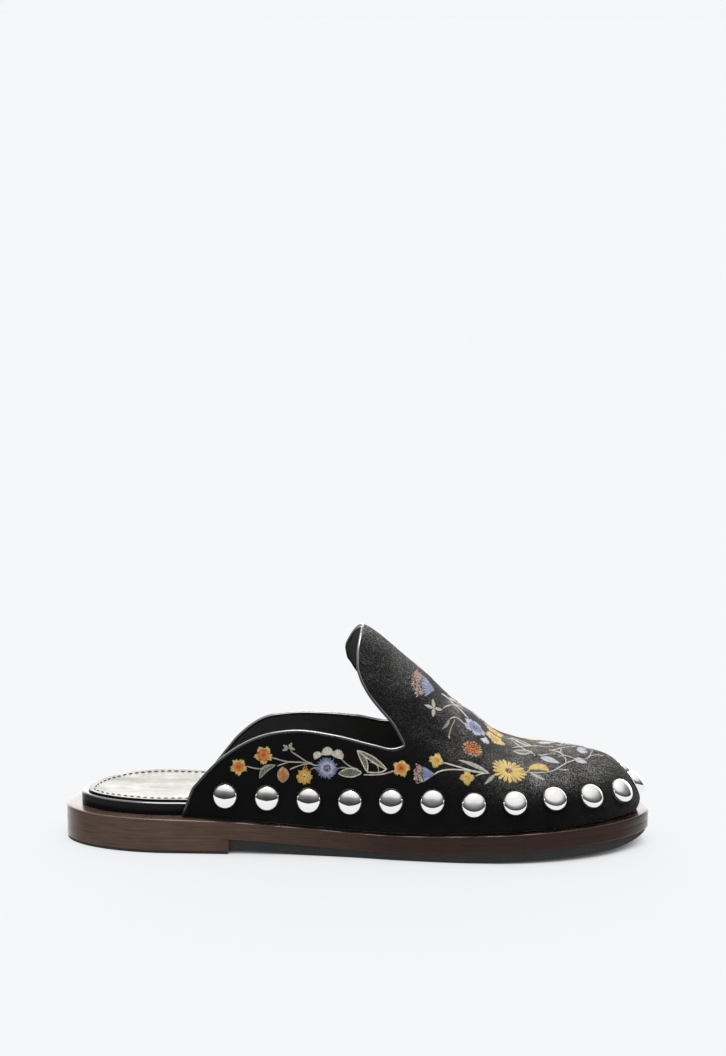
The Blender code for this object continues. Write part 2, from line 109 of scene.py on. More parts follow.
# smooth curve through one column of a table
def smoothAt(table, column, x):
    xs = np.array(table["x"], float)
    ys = np.array(table[column], float)
    slopes = np.gradient(ys, xs)
    x = np.clip(x, xs[0], xs[-1])
    i = np.clip(np.searchsorted(xs, x) - 1, 0, len(xs) - 2)
    step = xs[i + 1] - xs[i]
    f = (x - xs[i]) / step
    near = (1 + 2 * f) * (1 - f) ** 2 * ys[i] + f * (1 - f) ** 2 * step * slopes[i]
    far = f * f * (3 - 2 * f) * ys[i + 1] + f * f * (f - 1) * step * slopes[i + 1]
    return near + far


# length run along a path, at each of its points
def runAlong(path):
    return np.concatenate([[0], np.cumsum(np.linalg.norm(np.diff(path, axis=0), axis=1))])


def placesAt(path, run, where):
    return np.column_stack([np.interp(where, run, path[:, k]) for k in range(path.shape[1])])


def evenRun(path, spacing):
    run = runAlong(path)
    return placesAt(path, run, np.linspace(0, run[-1], int(run[-1] / spacing) + 1))


def unitRows(vectors):
    return vectors / np.maximum(np.linalg.norm(vectors, axis=1), 1e-12)[:, None]


# flat directions turned a quarter to the left
def leftOf(along):
    return np.stack([-along[..., 1], along[..., 0]], axis=-1)


# soft noise at each point, with so many waves a millimetre along x, y and z
def noiseAt(points, waves, lift=0.0):
    return np.array([noise.noise(place) for place in (points * waves + (0, 0, lift)).tolist()])


def bell(distance, width):
    return np.exp(-(distance / width) ** 2)


def soleBottom(x):
    return smoothAt(sole["bottom"], "z", x)


def weltTop(x):
    return soleBottom(x) + sole["stackHeight"]


# sole edge on one side, from the heel's back to the toe tip
def halfOutline(side, endSteps, sideSteps):
    width = sole["width"]
    ballX = width["x"][-1]
    turn = np.linspace(0, math.pi / 2, endSteps, endpoint=False)
    heel = np.column_stack([sole["heelCurve"] * (1 - np.cos(turn)), side * width[side][0] * np.sin(turn)])
    x = np.linspace(sole["heelCurve"], ballX, sideSteps, endpoint=False)
    middle = np.column_stack([x, side * smoothAt(width, side, x)])
    turn = np.linspace(0, math.pi / 2, endSteps + 1)
    spread = np.clip(np.cos(turn), 0, None) ** (2 * sole["toeBend"][side])
    reach = side * width[side][-1] - sole["toeTipY"]
    toe = np.column_stack([ballX + (sole["length"] - ballX) * np.sin(turn), sole["toeTipY"] + reach * spread])
    return np.vstack([heel, middle, toe])


# closed edge: up the inner side, round the toe and back down the outer side
def soleOutline(endSteps=90, sideSteps=100):
    there = halfOutline(inner, endSteps, sideSteps)
    back = halfOutline(outer, endSteps, sideSteps)
    return np.vstack([there, back[-2:0:-1]])


def insetOutline(points, inset):
    along = unitRows(np.roll(points, -1, axis=0) - np.roll(points, 1, axis=0))
    return points + leftOf(along) * np.broadcast_to(inset, len(points))[:, None]


# the frame has its origin under the middle of the sole, so sizes are shifted to it
soleLoop = soleOutline()
weltLow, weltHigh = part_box("welt")
loopMiddle = (soleLoop.max(axis=0) + soleLoop.min(axis=0)) / 2
shift = np.array([loopMiddle[0] - (weltLow.x + weltHigh.x) / 2 / mm,
                  loopMiddle[1] - (weltLow.y + weltHigh.y) / 2 / mm, 0.0])


def toRow(points):
    return (np.asarray(points, float) - shift) * mm


def newObject(name, data):
    made = bpy.data.objects.new(name, data)
    bpy.context.scene.collection.objects.link(made)
    return made


def addPiece(name, points, faces, material, replaces=(), sharp=40, trim=None, trimFaces=()):
    mesh = bpy.data.meshes.new(name)
    mesh.from_pydata(toRow(points).tolist(), [], [tuple(int(i) for i in face) for face in faces])
    mesh.validate()
    mesh.shade_smooth()
    mesh.set_sharp_from_angle(angle=math.radians(sharp))
    mesh.materials.append(material)
    if trim:
        mesh.materials.append(trim)
        for number in trimFaces:
            mesh.polygons[number].material_index = 1
    piece = newObject(name, mesh)
    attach(piece, "root")
    if replaces:
        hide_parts(*replaces)
    return piece


# faces between closed loops of points that have equal counts
def loopFaces(loops, count, start=0):
    i = np.arange(count)
    j = (i + 1) % count
    rows = []
    for ring in range(loops - 1):
        a, b = start + ring * count, start + (ring + 1) * count
        rows.append(np.column_stack([a + i, a + j, b + j, b + i]))
    return np.vstack(rows)


spineEnd = 0.8       # a plate's middle line stops this share of its half width from each end


# line that the rings of a plate close in on; points facing each other across the plate share it
def spineOf(loop):
    count = len(loop)
    whole = loop[0, 0] == loop[:, 0].min()
    facing = ((0 if whole else -1) - np.arange(count)) % count
    middleX = (loop[:, 0] + loop[facing, 0]) / 2
    reach = spineEnd * (loop[:, 1].max() - loop[:, 1].min()) / 2
    x = np.clip(middleX, loop[:, 0].min() + reach, loop[:, 0].max() - reach)
    return np.column_stack([x, np.full(count, (loop[:, 1].max() + loop[:, 1].min()) / 2)])


# closed plate: under, edge and top; low and high give heights from x, y and the way from the
# middle line (0) to the edge (1), and edge rows are (inset, height), two functions of x
def plateSurface(loop, low, high, edge, rings):
    spine = spineOf(loop)
    loops = []
    first = insetOutline(loop, edge[0][0](loop[:, 0]))
    final = insetOutline(loop, edge[-1][0](loop[:, 0]))
    for ring in range(rings, 0, -1):
        flat = first + (spine - first) * ring / rings
        loops.append(np.column_stack([flat, low(flat[:, 0], flat[:, 1], 1 - ring / rings)]))
    for inset, height in edge:
        flat = insetOutline(loop, inset(loop[:, 0]))
        loops.append(np.column_stack([flat, height(flat[:, 0])]))
    for ring in range(1, rings + 1):
        flat = final + (spine - final) * ring / rings
        loops.append(np.column_stack([flat, high(flat[:, 0], flat[:, 1], 1 - ring / rings)]))
    return np.vstack(loops), loopFaces(len(loops), len(loop))


# rounded corner rows for plateSurface, from the wall to the top or from the bottom to the wall
def cornerRows(radius, height, atTop, steps=5):
    rows = []
    for turn in np.linspace(0, math.pi / 2, steps + 1):
        cut = 1 - math.cos(turn) if atTop else 1 - math.sin(turn)
        drop = 1 - math.sin(turn) if atTop else 1 - math.cos(turn)
        sign = -1 if atTop else 1
        rows.append((lambda x, cut=cut: radius(x) * cut,
                     lambda x, drop=drop, sign=sign: height(x) + sign * radius(x) * drop))
    return rows


def constant(value):
    return lambda x: np.full(np.shape(x), float(value))


# a plate's under side or top whose height depends on x alone
def across(height):
    return lambda x, y, rise: height(x)


def addPlate(name, loop, low, high, edge, rings, material, replaces, sharp=40):
    points, faces = plateSurface(loop, low, high, edge, rings)
    addPiece(name, points, faces, material, replaces, sharp)


# a socket takes another socket's output or a plain value
def plug(tree, value, socket):
    if isinstance(value, bpy.types.NodeSocket):
        tree.links.new(value, socket)
    else:
        socket.default_value = value


# sockets by name, with _ for each space
def plugAll(tree, inputs, sockets):
    for name, value in sockets.items():
        plug(tree, value, inputs[name.replace("_", " ")])


def addNode(tree, kind, settings=None, **sockets):
    node = tree.nodes.new(kind)
    for name, value in (settings or {}).items():
        setattr(node, name, value)
    plugAll(tree, node.inputs, sockets)
    return node


def newGroup(name, inputs, outputs):
    group = bpy.data.node_groups.new(name, "ShaderNodeTree")
    for label, kind, value in inputs:
        socket = group.interface.new_socket(label, in_out="INPUT", socket_type=kind)
        socket.default_value = value
    for label, kind in outputs:
        group.interface.new_socket(label, in_out="OUTPUT", socket_type=kind)
    return group, group.nodes.new("NodeGroupInput").outputs, group.nodes.new("NodeGroupOutput").inputs


def calculate(tree, operation, a, b):
    node = addNode(tree, "ShaderNodeMath", {"operation": operation})
    plug(tree, a, node.inputs[0])
    plug(tree, b, node.inputs[1])
    return node.outputs[0]


def mixColour(tree, factor, a, b):
    node = addNode(tree, "ShaderNodeMix", {"data_type": "RGBA"})
    plug(tree, factor, node.inputs[0])
    plug(tree, a, node.inputs[6])
    plug(tree, b, node.inputs[7])
    return node.outputs[2]


def ramp(tree, value, low, high, fromLow=0.0, fromHigh=1.0):
    node = addNode(tree, "ShaderNodeMapRange", {"clamp": True}, Value=value, From_Min=fromLow,
                   From_Max=fromHigh, To_Min=low, To_Max=high)
    return node.outputs["Result"]


def objectPoint(tree, stretch=(1, 1, 1)):
    place = addNode(tree, "ShaderNodeTexCoord").outputs["Object"]
    return addNode(tree, "ShaderNodeMapping", Vector=place, Scale=stretch).outputs["Vector"]


# how far the surface looks up: 1 on a flat top, 0 on a wall
def upwards(tree):
    normal = addNode(tree, "ShaderNodeNewGeometry").outputs["Normal"]
    return addNode(tree, "ShaderNodeSeparateXYZ", Vector=normal).outputs["Z"]


# fine pebbled skin: height and the pits between the pebbles
def makeGrainGroup():
    tree, given, out = newGroup(
        "leatherGrain",
        [("Pebbles per metre", "NodeSocketFloat", 900.0), ("Softness", "NodeSocketFloat", 0.5)],
        [("Height", "NodeSocketFloat"), ("Pits", "NodeSocketFloat")])
    point = objectPoint(tree)
    wobble = addNode(tree, "ShaderNodeTexNoise", Vector=point, Scale=given["Pebbles per metre"], Detail=2.0)
    cells = addNode(tree, "ShaderNodeTexVoronoi", {"feature": "DISTANCE_TO_EDGE"}, Vector=point,
                    Scale=given["Pebbles per metre"])
    pits = ramp(tree, cells.outputs["Distance"], 1.0, 0.0, 0.0, 0.25)
    pebble = calculate(tree, "SUBTRACT", 1.0, pits)
    mixed = addNode(tree, "ShaderNodeMix", Factor=given["Softness"])
    plug(tree, pebble, mixed.inputs[2])
    plug(tree, wobble.outputs["Fac"], mixed.inputs[3])
    plug(tree, mixed.outputs[0], out["Height"])
    plug(tree, pits, out["Pits"])
    return tree


# two tones that drift into each other over the surface
def makeToneGroup():
    tree, given, out = newGroup(
        "toneDrift",
        [("Colour", "NodeSocketColor", (0.5, 0.5, 0.5, 1)),
         ("Other tone", "NodeSocketColor", (0.3, 0.3, 0.3, 1)),
         ("Patches per metre", "NodeSocketFloat", 40.0),
         ("Amount", "NodeSocketFloat", 0.5)],
        [("Colour", "NodeSocketColor"), ("Patches", "NodeSocketFloat")])
    cloud = addNode(tree, "ShaderNodeTexNoise", Vector=objectPoint(tree), Scale=given["Patches per metre"],
                    Detail=4.0, Roughness=0.6)
    patches = ramp(tree, cloud.outputs["Fac"], 0.0, 1.0, 0.3, 0.7)
    share = calculate(tree, "MULTIPLY", patches, given["Amount"])
    plug(tree, mixColour(tree, share, given["Colour"], given["Other tone"]), out["Colour"])
    plug(tree, patches, out["Patches"])
    return tree


# where a skin is polished most: nothing on upright walls, full on faces that look up
def makePolishGroup():
    tree, given, out = newGroup(
        "upwardPolish", [("Starts", "NodeSocketFloat", 0.15), ("Full", "NodeSocketFloat", 0.8)],
        [("Polish", "NodeSocketFloat")])
    plug(tree, ramp(tree, upwards(tree), 0.0, 1.0, given["Starts"], given["Full"]), out["Polish"])
    return tree


grainGroup, toneGroup, polishGroup = makeGrainGroup(), makeToneGroup(), makePolishGroup()


def useGroup(tree, group, **sockets):
    return addNode(tree, "ShaderNodeGroup", {"node_tree": group}, **sockets).outputs


def newMaterial(name, **sockets):
    material = bpy.data.materials.new(name)
    material.use_nodes = True
    shader = material.node_tree.nodes["Principled BSDF"].inputs
    plugAll(material.node_tree, shader, sockets)
    return material, material.node_tree, shader


# what every finish varies over its surface
def finish(tree, shader, colour, roughness=None, height=None, depth=0.0, strength=1.0):
    plug(tree, colour, shader["Base Color"])
    if roughness:
        plug(tree, roughness, shader["Roughness"])
    if height:
        bump = addNode(tree, "ShaderNodeBump", Height=height, Distance=depth, Strength=strength)
        plug(tree, bump.outputs["Normal"], shader["Normal"])


# the drift of tone and the grain that a finish asks for
def toneOf(tree, look, colour=None):
    return useGroup(tree, toneGroup, Colour=colour or look["colour"], Other_tone=look["other"],
                    Patches_per_metre=look["patchesPerMetre"], Amount=look["patchAmount"])


def grainOf(tree, look):
    return useGroup(tree, grainGroup, Pebbles_per_metre=look["pebblesPerMetre"], Softness=look["softness"])


polishLook = {"starts": 0.15, "full": 0.8}   # how far a face looks up where its polish starts and is full


def polishOf(tree):
    return useGroup(tree, polishGroup, Starts=polishLook["starts"], Full=polishLook["full"])["Polish"]


# ramps are (low, high, from, to): from and to are the mask's values that give low and high
velvetFinish = {
    "base": (0.0035, 0.0035, 0.0038, 1), "paintedLight": (0.31, 0.30, 0.285, 1), "roughness": 0.92, "shine": 0.12,
    "pilePerMetre": 1700.0, "brushPerMetre": 45.0, "pileDepth": 0.0006, "pileStrength": 0.8,
    "sheen": 0.38, "sheenRoughness": 0.32, "sheenTint": (0.80, 0.80, 0.78, 1),
    "speckle": (0.0, 1.0, 0.44, 0.70),       # pile tips where the painted light shows
    "lie": (0.2, 1.0, 0.38, 0.62),           # pile brushed down, and standing up
    "turned": (0.012, 0.15, 0.05, 0.75),     # painted sheen: colour lightened where the cloth turns away from view
    "paintedTopLight": (0.08, 1.12, -0.1, 0.8),       # and painted light on the pile where it looks up
    "paintedTopLightPower": 6.0,
}


def makeVelvet():
    look = velvetFinish
    material, tree, shader = newMaterial(
        "velvet_pile", Roughness=look["roughness"], Specular_IOR_Level=look["shine"],
        Sheen_Weight=look["sheen"], Sheen_Roughness=look["sheenRoughness"], Sheen_Tint=look["sheenTint"])
    point = objectPoint(tree)
    pile = addNode(tree, "ShaderNodeTexNoise", Vector=point, Scale=look["pilePerMetre"], Detail=3.0,
                   Roughness=0.7).outputs["Fac"]
    brushed = addNode(tree, "ShaderNodeTexNoise", Vector=point, Scale=look["brushPerMetre"], Detail=5.0,
                      Roughness=0.65, Distortion=0.6).outputs["Fac"]
    # painted light: the pile's colour is lightened towards its outline (painted sheen) and on faces that look
    # up (painted top light)
    slant = addNode(tree, "ShaderNodeLayerWeight", Blend=0.4).outputs["Facing"]
    paintedTopLight = calculate(tree, "POWER", ramp(tree, upwards(tree), *look["paintedTopLight"]), look["paintedTopLightPower"])
    paintedSheenAndTopLight = calculate(tree, "MAXIMUM", ramp(tree, slant, *look["turned"]), paintedTopLight)
    tips = calculate(tree, "MULTIPLY", ramp(tree, pile, *look["speckle"]), ramp(tree, brushed, *look["lie"]))
    paintedLightShare = calculate(tree, "MULTIPLY", tips, paintedSheenAndTopLight)
    finish(tree, shader, mixColour(tree, paintedLightShare, look["base"], look["paintedLight"]), None, pile, look["pileDepth"],
           look["pileStrength"])
    return material


# every skin has these values unless its own say otherwise
skinFinish = {"patchesPerMetre": 55.0, "patchAmount": 0.7, "softness": 0.45, "pitRoughness": 0.2}
# shine is of the skin itself, coatGloss of the polish on faces that look up
skins = {
    "black_leather": {
        "colour": (0.007, 0.007, 0.008, 1), "other": (0.012, 0.012, 0.013, 1), "roughness": 0.13,
        "pebblesPerMetre": 1300.0, "depth": 0.00003, "shine": 0.12, "coatGloss": 2.6,
    },
    "lining_leather": {
        "colour": (0.018, 0.018, 0.019, 1), "other": (0.032, 0.031, 0.030, 1), "roughness": 0.42,
        "pebblesPerMetre": 1000.0, "depth": 0.00008,
    },
    "piping_leather": {
        "colour": (0.008, 0.008, 0.009, 1), "other": (0.014, 0.014, 0.014, 1), "roughness": 0.16,
        "pebblesPerMetre": 1500.0, "depth": 0.00003, "shine": 0.9, "coatGloss": 3.2,
    },
    "dark_thread": {
        "colour": (0.020, 0.018, 0.016, 1), "other": (0.05, 0.045, 0.04, 1), "roughness": 0.6,
        "pebblesPerMetre": 2600.0, "depth": 0.00006,
    },
    "black_rubber": {
        "colour": (0.020, 0.020, 0.021, 1), "other": (0.034, 0.033, 0.032, 1), "roughness": 0.6,
        "pebblesPerMetre": 1800.0, "depth": 0.00012, "softness": 0.3, "pitRoughness": 0.25,
        "patchesPerMetre": 120.0, "patchAmount": 0.8,
    },
}


def makeSkin(name):
    look = {**skinFinish, **skins[name]}
    material, tree, shader = newMaterial(name)
    if "coatGloss" in look:
        plug(tree, look["shine"], shader["Specular IOR Level"])
        plug(tree, look["coatGloss"], shader["Coat IOR"])
        plug(tree, look["roughness"], shader["Coat Roughness"])
        plug(tree, polishOf(tree), shader["Coat Weight"])
    grain = grainOf(tree, look)
    roughness = ramp(tree, grain["Pits"], look["roughness"], look["roughness"] + look["pitRoughness"])
    finish(tree, shader, toneOf(tree, look)["Colour"], roughness, grain["Height"], look["depth"])
    return material


soleFinish = {
    "heelColour": (0.150, 0.094, 0.064, 1), "toeColour": (0.044, 0.019, 0.012, 1),
    "heelLightFromX": -0.07, "heelLightToX": 0.02,       # painted light: from the paler, lit heel colour to the toe's, in metres
    "other": (0.026, 0.012, 0.008, 1), "patchesPerMetre": 70.0, "patchAmount": 0.35,
    "roughness": 0.22, "roughnessRange": (-0.06, 0.12),
    "gloss": 1.4, "shine": 0.24, "coatGloss": 1.5,
    "turned": (0.0, 1.0, 0.3, 0.65),         # the coat lies on the top and where the wall turns away
    "linesPerMetre": 2600.0, "lineStretch": (0.03, 0.03, 1.0), "lines": (0.0, 0.5, 0.4, 0.7),
    "lineDepth": 0.00006,
}


# burnished edge of stacked leather: long fine lines along the sole, with painted light that makes it paler at
# the heel
def makeSoleEdge():
    look = soleFinish
    material, tree, shader = newMaterial(
        "burnished_sole", IOR=look["gloss"], Specular_IOR_Level=look["shine"], Coat_IOR=look["coatGloss"],
        Coat_Roughness=look["roughness"])
    lines = addNode(tree, "ShaderNodeTexNoise", Vector=objectPoint(tree, look["lineStretch"]),
                    Scale=look["linesPerMetre"], Detail=3.0).outputs["Fac"]
    place = addNode(tree, "ShaderNodeSeparateXYZ", Vector=objectPoint(tree))
    # painted light: the edge is paler towards the heel, as if lit there
    forward = ramp(tree, place.outputs["X"], 0.0, 1.0, look["heelLightFromX"], look["heelLightToX"])
    paintedHeelLight = mixColour(tree, forward, look["heelColour"], look["toeColour"])
    tone = toneOf(tree, look, paintedHeelLight)
    streak = ramp(tree, lines, *look["lines"])
    smoothest, roughest = (look["roughness"] + change for change in look["roughnessRange"])
    slant = addNode(tree, "ShaderNodeLayerWeight", Blend=0.5).outputs["Facing"]
    coat = calculate(tree, "MAXIMUM", ramp(tree, slant, *look["turned"]), polishOf(tree))
    finish(tree, shader, mixColour(tree, streak, tone["Colour"], look["other"]),
           ramp(tree, tone["Patches"], smoothest, roughest), lines, look["lineDepth"])
    plug(tree, coat, shader["Coat Weight"])
    return material


sockFinish = {
    "colour": (0.55, 0.53, 0.48, 1), "other": (0.30, 0.30, 0.285, 1), "metal": 0.7,
    "roughness": 0.34, "wornRoughness": 0.48, "patchesPerMetre": 120.0, "patchAmount": 0.35,
    # the streaks below are painted reflection, greyer lines along the foil
    "streaksPerMetre": 70.0, "streakStretch": (0.28, 1.0, 1.0), "paintedStreakShade": (0.0, 0.75, 0.46, 0.64),
    "pebblesPerMetre": 1500.0, "softness": 0.6, "depth": 0.00006,
}


def makeSockFoil():
    look = sockFinish
    material, tree, shader = newMaterial("metallic_foil", Metallic=look["metal"])
    tone = toneOf(tree, look)
    streaks = addNode(tree, "ShaderNodeTexNoise", Vector=objectPoint(tree, look["streakStretch"]),
                      Scale=look["streaksPerMetre"], Detail=3.0, Roughness=0.6, Distortion=0.5)
    # painted reflection: greyer streaks along the foil, standing in for the reflections of its soft wrinkles
    paintedStreakShade = ramp(tree, streaks.outputs["Fac"], *look["paintedStreakShade"])
    roughness = ramp(tree, tone["Patches"], look["roughness"], look["wornRoughness"])
    finish(tree, shader, mixColour(tree, paintedStreakShade, tone["Colour"], look["other"]), roughness,
           grainOf(tree, look)["Height"], look["depth"])
    return material


chromeFinish = {
    "colour": (0.97, 0.96, 0.94, 1), "other": (0.90, 0.89, 0.87, 1), "patchesPerMetre": 400.0,
    "patchAmount": 0.6, "hazePerMetre": 900.0, "roughness": (0.025, 0.07),
}


def makeChrome():
    look = chromeFinish
    material, tree, shader = newMaterial("polished_chrome", Metallic=1.0)
    haze = useGroup(tree, toneGroup, Patches_per_metre=look["hazePerMetre"], Amount=1.0)
    finish(tree, shader, toneOf(tree, look)["Colour"], ramp(tree, haze["Patches"], *look["roughness"]))
    return material


threadFinish = {
    "sheen": 0.3, "sheenRoughness": 0.4, "twistShade": (0.02, 0.018, 0.015, 1), "twistShadeAmount": 0.28,
    "roughness": (0.40, 0.6), "depth": 0.00006,
    "twist": 1.2, "twistBend": 1.5,
}


# thread takes its colour from the piece, and has a fine twist across each stitch, with painted shade in the
# twist's grooves
def makeThread():
    look = threadFinish
    material, tree, shader = newMaterial(
        "embroidery_thread", Sheen_Weight=look["sheen"], Sheen_Roughness=look["sheenRoughness"])
    colour = addNode(tree, "ShaderNodeVertexColor", {"layer_name": "threadColour"}).outputs["Color"]
    run = addNode(tree, "ShaderNodeUVMap", {"uv_map": "stitch"}).outputs["UV"]
    twist = addNode(tree, "ShaderNodeTexWave", {"bands_direction": "DIAGONAL"}, Vector=run,
                    Scale=look["twist"], Distortion=look["twistBend"]).outputs["Fac"]
    # painted shade: the thread darkens in the grooves of its twist
    twistShade = ramp(tree, twist, 0.0, look["twistShadeAmount"])
    finish(tree, shader, mixColour(tree, twistShade, colour, look["twistShade"]),
           ramp(tree, twist, *look["roughness"]), twist, look["depth"])
    return material


velvet = makeVelvet()
blackLeather, liningLeather, pipingLeather, darkThread, rubber = (makeSkin(name) for name in skins)
soleEdge = makeSoleEdge()
sockFoil = makeSockFoil()
chrome = makeChrome()
thread = makeThread()
print("materials made")


# midsole and welt
soleLook = {
    "topEdgeRadius": 0.75, "lowEdgeRadius": 0.5, "seamRadius": (0.04, 0.22), "seamOpensFromX": 175.0,
    "middle": 4.05,                          # height of their seam over the sole's bottom
    "touch": 0.01,
    "heelBlend": 4.0, "heelRadius": 0.05,    # the low edge sharpens to this share over the heel block
    "midsoleRings": 4, "weltRings": 10,
}


# the seam between the two layers opens a little towards the toe
def seamRadius(x):
    low, high = soleLook["seamRadius"]
    share = np.clip((x - soleLook["seamOpensFromX"]) / (sole["length"] - soleLook["seamOpensFromX"]), 0, 1)
    return low + (high - low) * share


def makeSole():
    look = soleLook

    def seamTop(x):
        return soleBottom(x) + look["middle"] - look["touch"]

    def seamLow(x):
        return soleBottom(x) + look["middle"] + look["touch"]

    def lowRadius(x):
        share = (x - heelLook["breastX"] + look["heelBlend"]) / look["heelBlend"]
        return look["lowEdgeRadius"] * np.clip(share, look["heelRadius"], 1)

    edge = cornerRows(lowRadius, soleBottom, False) + cornerRows(seamRadius, seamTop, True)
    addPlate("midsole_leather", soleLoop, across(soleBottom), across(seamTop), edge, look["midsoleRings"],
             soleEdge, ["midsole"])
    edge = cornerRows(seamRadius, seamLow, False) + cornerRows(constant(look["topEdgeRadius"]), weltTop, True)
    addPlate("welt_leather", soleLoop, across(seamLow), across(weltTop), edge, look["weltRings"],
             soleEdge, ["welt"])


# finer edge for the pieces that are cut straight across
fineLoop = soleOutline(sideSteps=400)
heelLook = {
    "breastX": 74.0, "inset": 0.05, "liftHeight": 1.2, "liftInset": 0.35, "radius": 0.3, "gap": 0.05,
    "liftTopRadius": 0.1, "rings": 3,
}


# part of a closed edge behind (-1) or in front of (1) a straight cut at x
def cutLoop(loop, x, part):
    kept = part * (loop[:, 0] - x) > 0
    starts = [i for i in range(len(loop)) if kept[i] and not kept[i - 1]]
    order = (starts[0] + np.arange(len(loop))) % len(loop)
    piece = loop[order[kept[order]]]
    piece[[0, -1], 0] = x
    return piece


def makeHeel():
    look = heelLook
    ground = constant(0)
    liftTop = constant(look["liftHeight"])
    blockLow = constant(look["liftHeight"] + look["gap"])

    def blockTop(x):
        return soleBottom(x) - look["gap"]

    seat = cutLoop(insetOutline(fineLoop, look["inset"]), look["breastX"], -1)
    edge = cornerRows(constant(look["radius"]), blockLow, False, 3) + [(constant(0), blockTop)]
    addPlate("heel_block", seat, across(blockLow), across(blockTop), edge, look["rings"],
             soleEdge, ["heel"], sharp=30)
    seat = cutLoop(insetOutline(fineLoop, look["liftInset"]), look["breastX"] - look["liftInset"], -1)
    edge = cornerRows(constant(look["radius"]), ground, False, 3)
    edge += cornerRows(constant(look["liftTopRadius"]), liftTop, True, 2)
    addPlate("heel_top_piece", seat, across(ground), across(liftTop), edge, look["rings"],
             rubber, ["heel_lift"], sharp=30)


outsoleLook = {
    "backX": 74.1, "inset": 1.0, "thickness": 4.3, "tip": 0.9, "thinFromX": 240.0, "gap": 0.3, "radius": 0.4,
    "topGap": 0.02, "rings": 12,
    "ribPitch": 3.2, "ribDepth": 0.35, "ribMargin": 0.8, "ribGain": 1.6, "ribGroove": 0.2,
}


def outsoleLow(x):
    look = outsoleLook
    thinned = np.clip((x - look["thinFromX"]) / (sole["length"] - look["thinFromX"]), 0, 1) ** 2
    thickness = look["thickness"] + (look["tip"] - look["thickness"]) * thinned
    return np.maximum(soleBottom(x) - look["gap"] - thickness, 0.0)


def makeOutsole():
    look = outsoleLook
    loop = cutLoop(insetOutline(fineLoop, look["inset"]), look["backX"], 1)

    # shallow ribs across the tread, away from its edge
    def tread(x, y, rise):
        wave = look["ribGain"] * np.cos(2 * math.pi * x / look["ribPitch"]) - look["ribGroove"]
        return outsoleLow(x) + look["ribDepth"] * np.clip(wave, 0, 1) * (rise < look["ribMargin"])

    def top(x):
        return soleBottom(x) - look["topGap"]

    edge = cornerRows(constant(look["radius"]), outsoleLow, False, 3) + [(constant(0), top)]
    addPlate("rubber_forepart", loop, tread, across(top), edge, look["rings"],
             rubber, ["outsole"], sharp=30)


makeSole()
makeHeel()
makeOutsole()
print("sole, heel and forepart made")


footbedLook = {
    "inset": {"x": [0, 40, 56, 85, 200, 240, 263], "inset": [6.8, 6.4, 7.6, 5.9, 5.9, 8.2, 10.4]},
    "height": 5.4, "cup": 2.0, "radius": 1.0, "lowRadius": 0.3,
    "seatGap": 0.02, "rings": 20,
}
sockLook = {
    "inset": 3.0, "rise": 0.9, "thickness": 0.8, "radius": 0.15, "rings": 34,
    "lowGap": 0.05,
    "wrinkle": 0.3, "longWaves": (0.022, 0.11, 0), "shortWaves": (0.06, 0.2, 0), "shortShare": 0.5,
    "stitchInset": 2.6, "stitchPitch": 3.1, "stitchRise": 0.25, "stitchSink": 0.1, "stitchRadius": 0.26,
    "stitchSteps": 8, "stitchSpan": 6,       # each stitch takes this many of its pitch's steps
    "stitchSides": 6, "castFrom": 60.0,
}


def footbedTop(x, rise):
    look = footbedLook
    return weltTop(x) + last["gap"] + look["height"] - look["cup"] * (1 - rise ** 2)


def footbedLoop(extra=0.0):
    return insetOutline(soleLoop, smoothAt(footbedLook["inset"], "inset", soleLoop[:, 0]) + extra)


def makeFootbed():
    look = footbedLook

    def low(x):
        return weltTop(x) + look["seatGap"]

    edge = cornerRows(constant(look["lowRadius"]), low, False, 3)
    edge += cornerRows(constant(look["radius"]), lambda x: footbedTop(x, 1.0), True, 8)
    addPlate("footbed_rim", footbedLoop(), across(low), lambda x, y, rise: footbedTop(x, rise), edge,
             look["rings"], blackLeather, ["footbed"])


def sockTop(x, y, rise):
    look = sockLook
    spots = np.column_stack([x, y, np.zeros(len(x))])
    wrinkle = noiseAt(spots, look["longWaves"], 3.0)
    wrinkle += look["shortShare"] * noiseAt(spots, look["shortWaves"], 9.0)
    creased = look["wrinkle"] * wrinkle * (1 - rise ** 6)
    return footbedTop(x, look["rise"] * rise) + last["gap"] + look["thickness"] + creased


# tube of round section along a path; across and up give its section's plane
def tubeMesh(path, across, up, radius, sides):
    turn = np.linspace(0, 2 * math.pi, sides, endpoint=False)
    rings = path[:, None] + radius * (np.cos(turn)[None, :, None] * across[:, None]
                                      + np.sin(turn)[None, :, None] * up[:, None])
    faces = loopFaces(len(path), sides).tolist()
    faces += [list(range(sides))[::-1], [(len(path) - 1) * sides + k for k in range(sides)]]
    return rings.reshape(-1, 3), faces


def makeSock():
    look = sockLook

    def low(x, y, rise):
        return footbedTop(x, look["rise"] * rise) + look["lowGap"]

    def edgeLow(x):
        return footbedTop(x, look["rise"]) + look["lowGap"]

    def edgeTop(x):
        return footbedTop(x, look["rise"]) + last["gap"] + look["thickness"]

    loop = footbedLoop(look["inset"])
    edge = [(constant(0), edgeLow)] + cornerRows(constant(look["radius"]), edgeTop, True, 4)
    points, faces = plateSurface(loop, low, sockTop, edge, look["rings"])
    cutEdge = range(look["rings"] * len(loop), (look["rings"] + 2) * len(loop))
    addPiece("foiled_sock", points, faces, sockFoil, ["insole_sock"], trim=blackLeather,
             trimFaces=cutEdge)
    return BVHTree.FromPolygons(points.tolist(), faces.tolist())


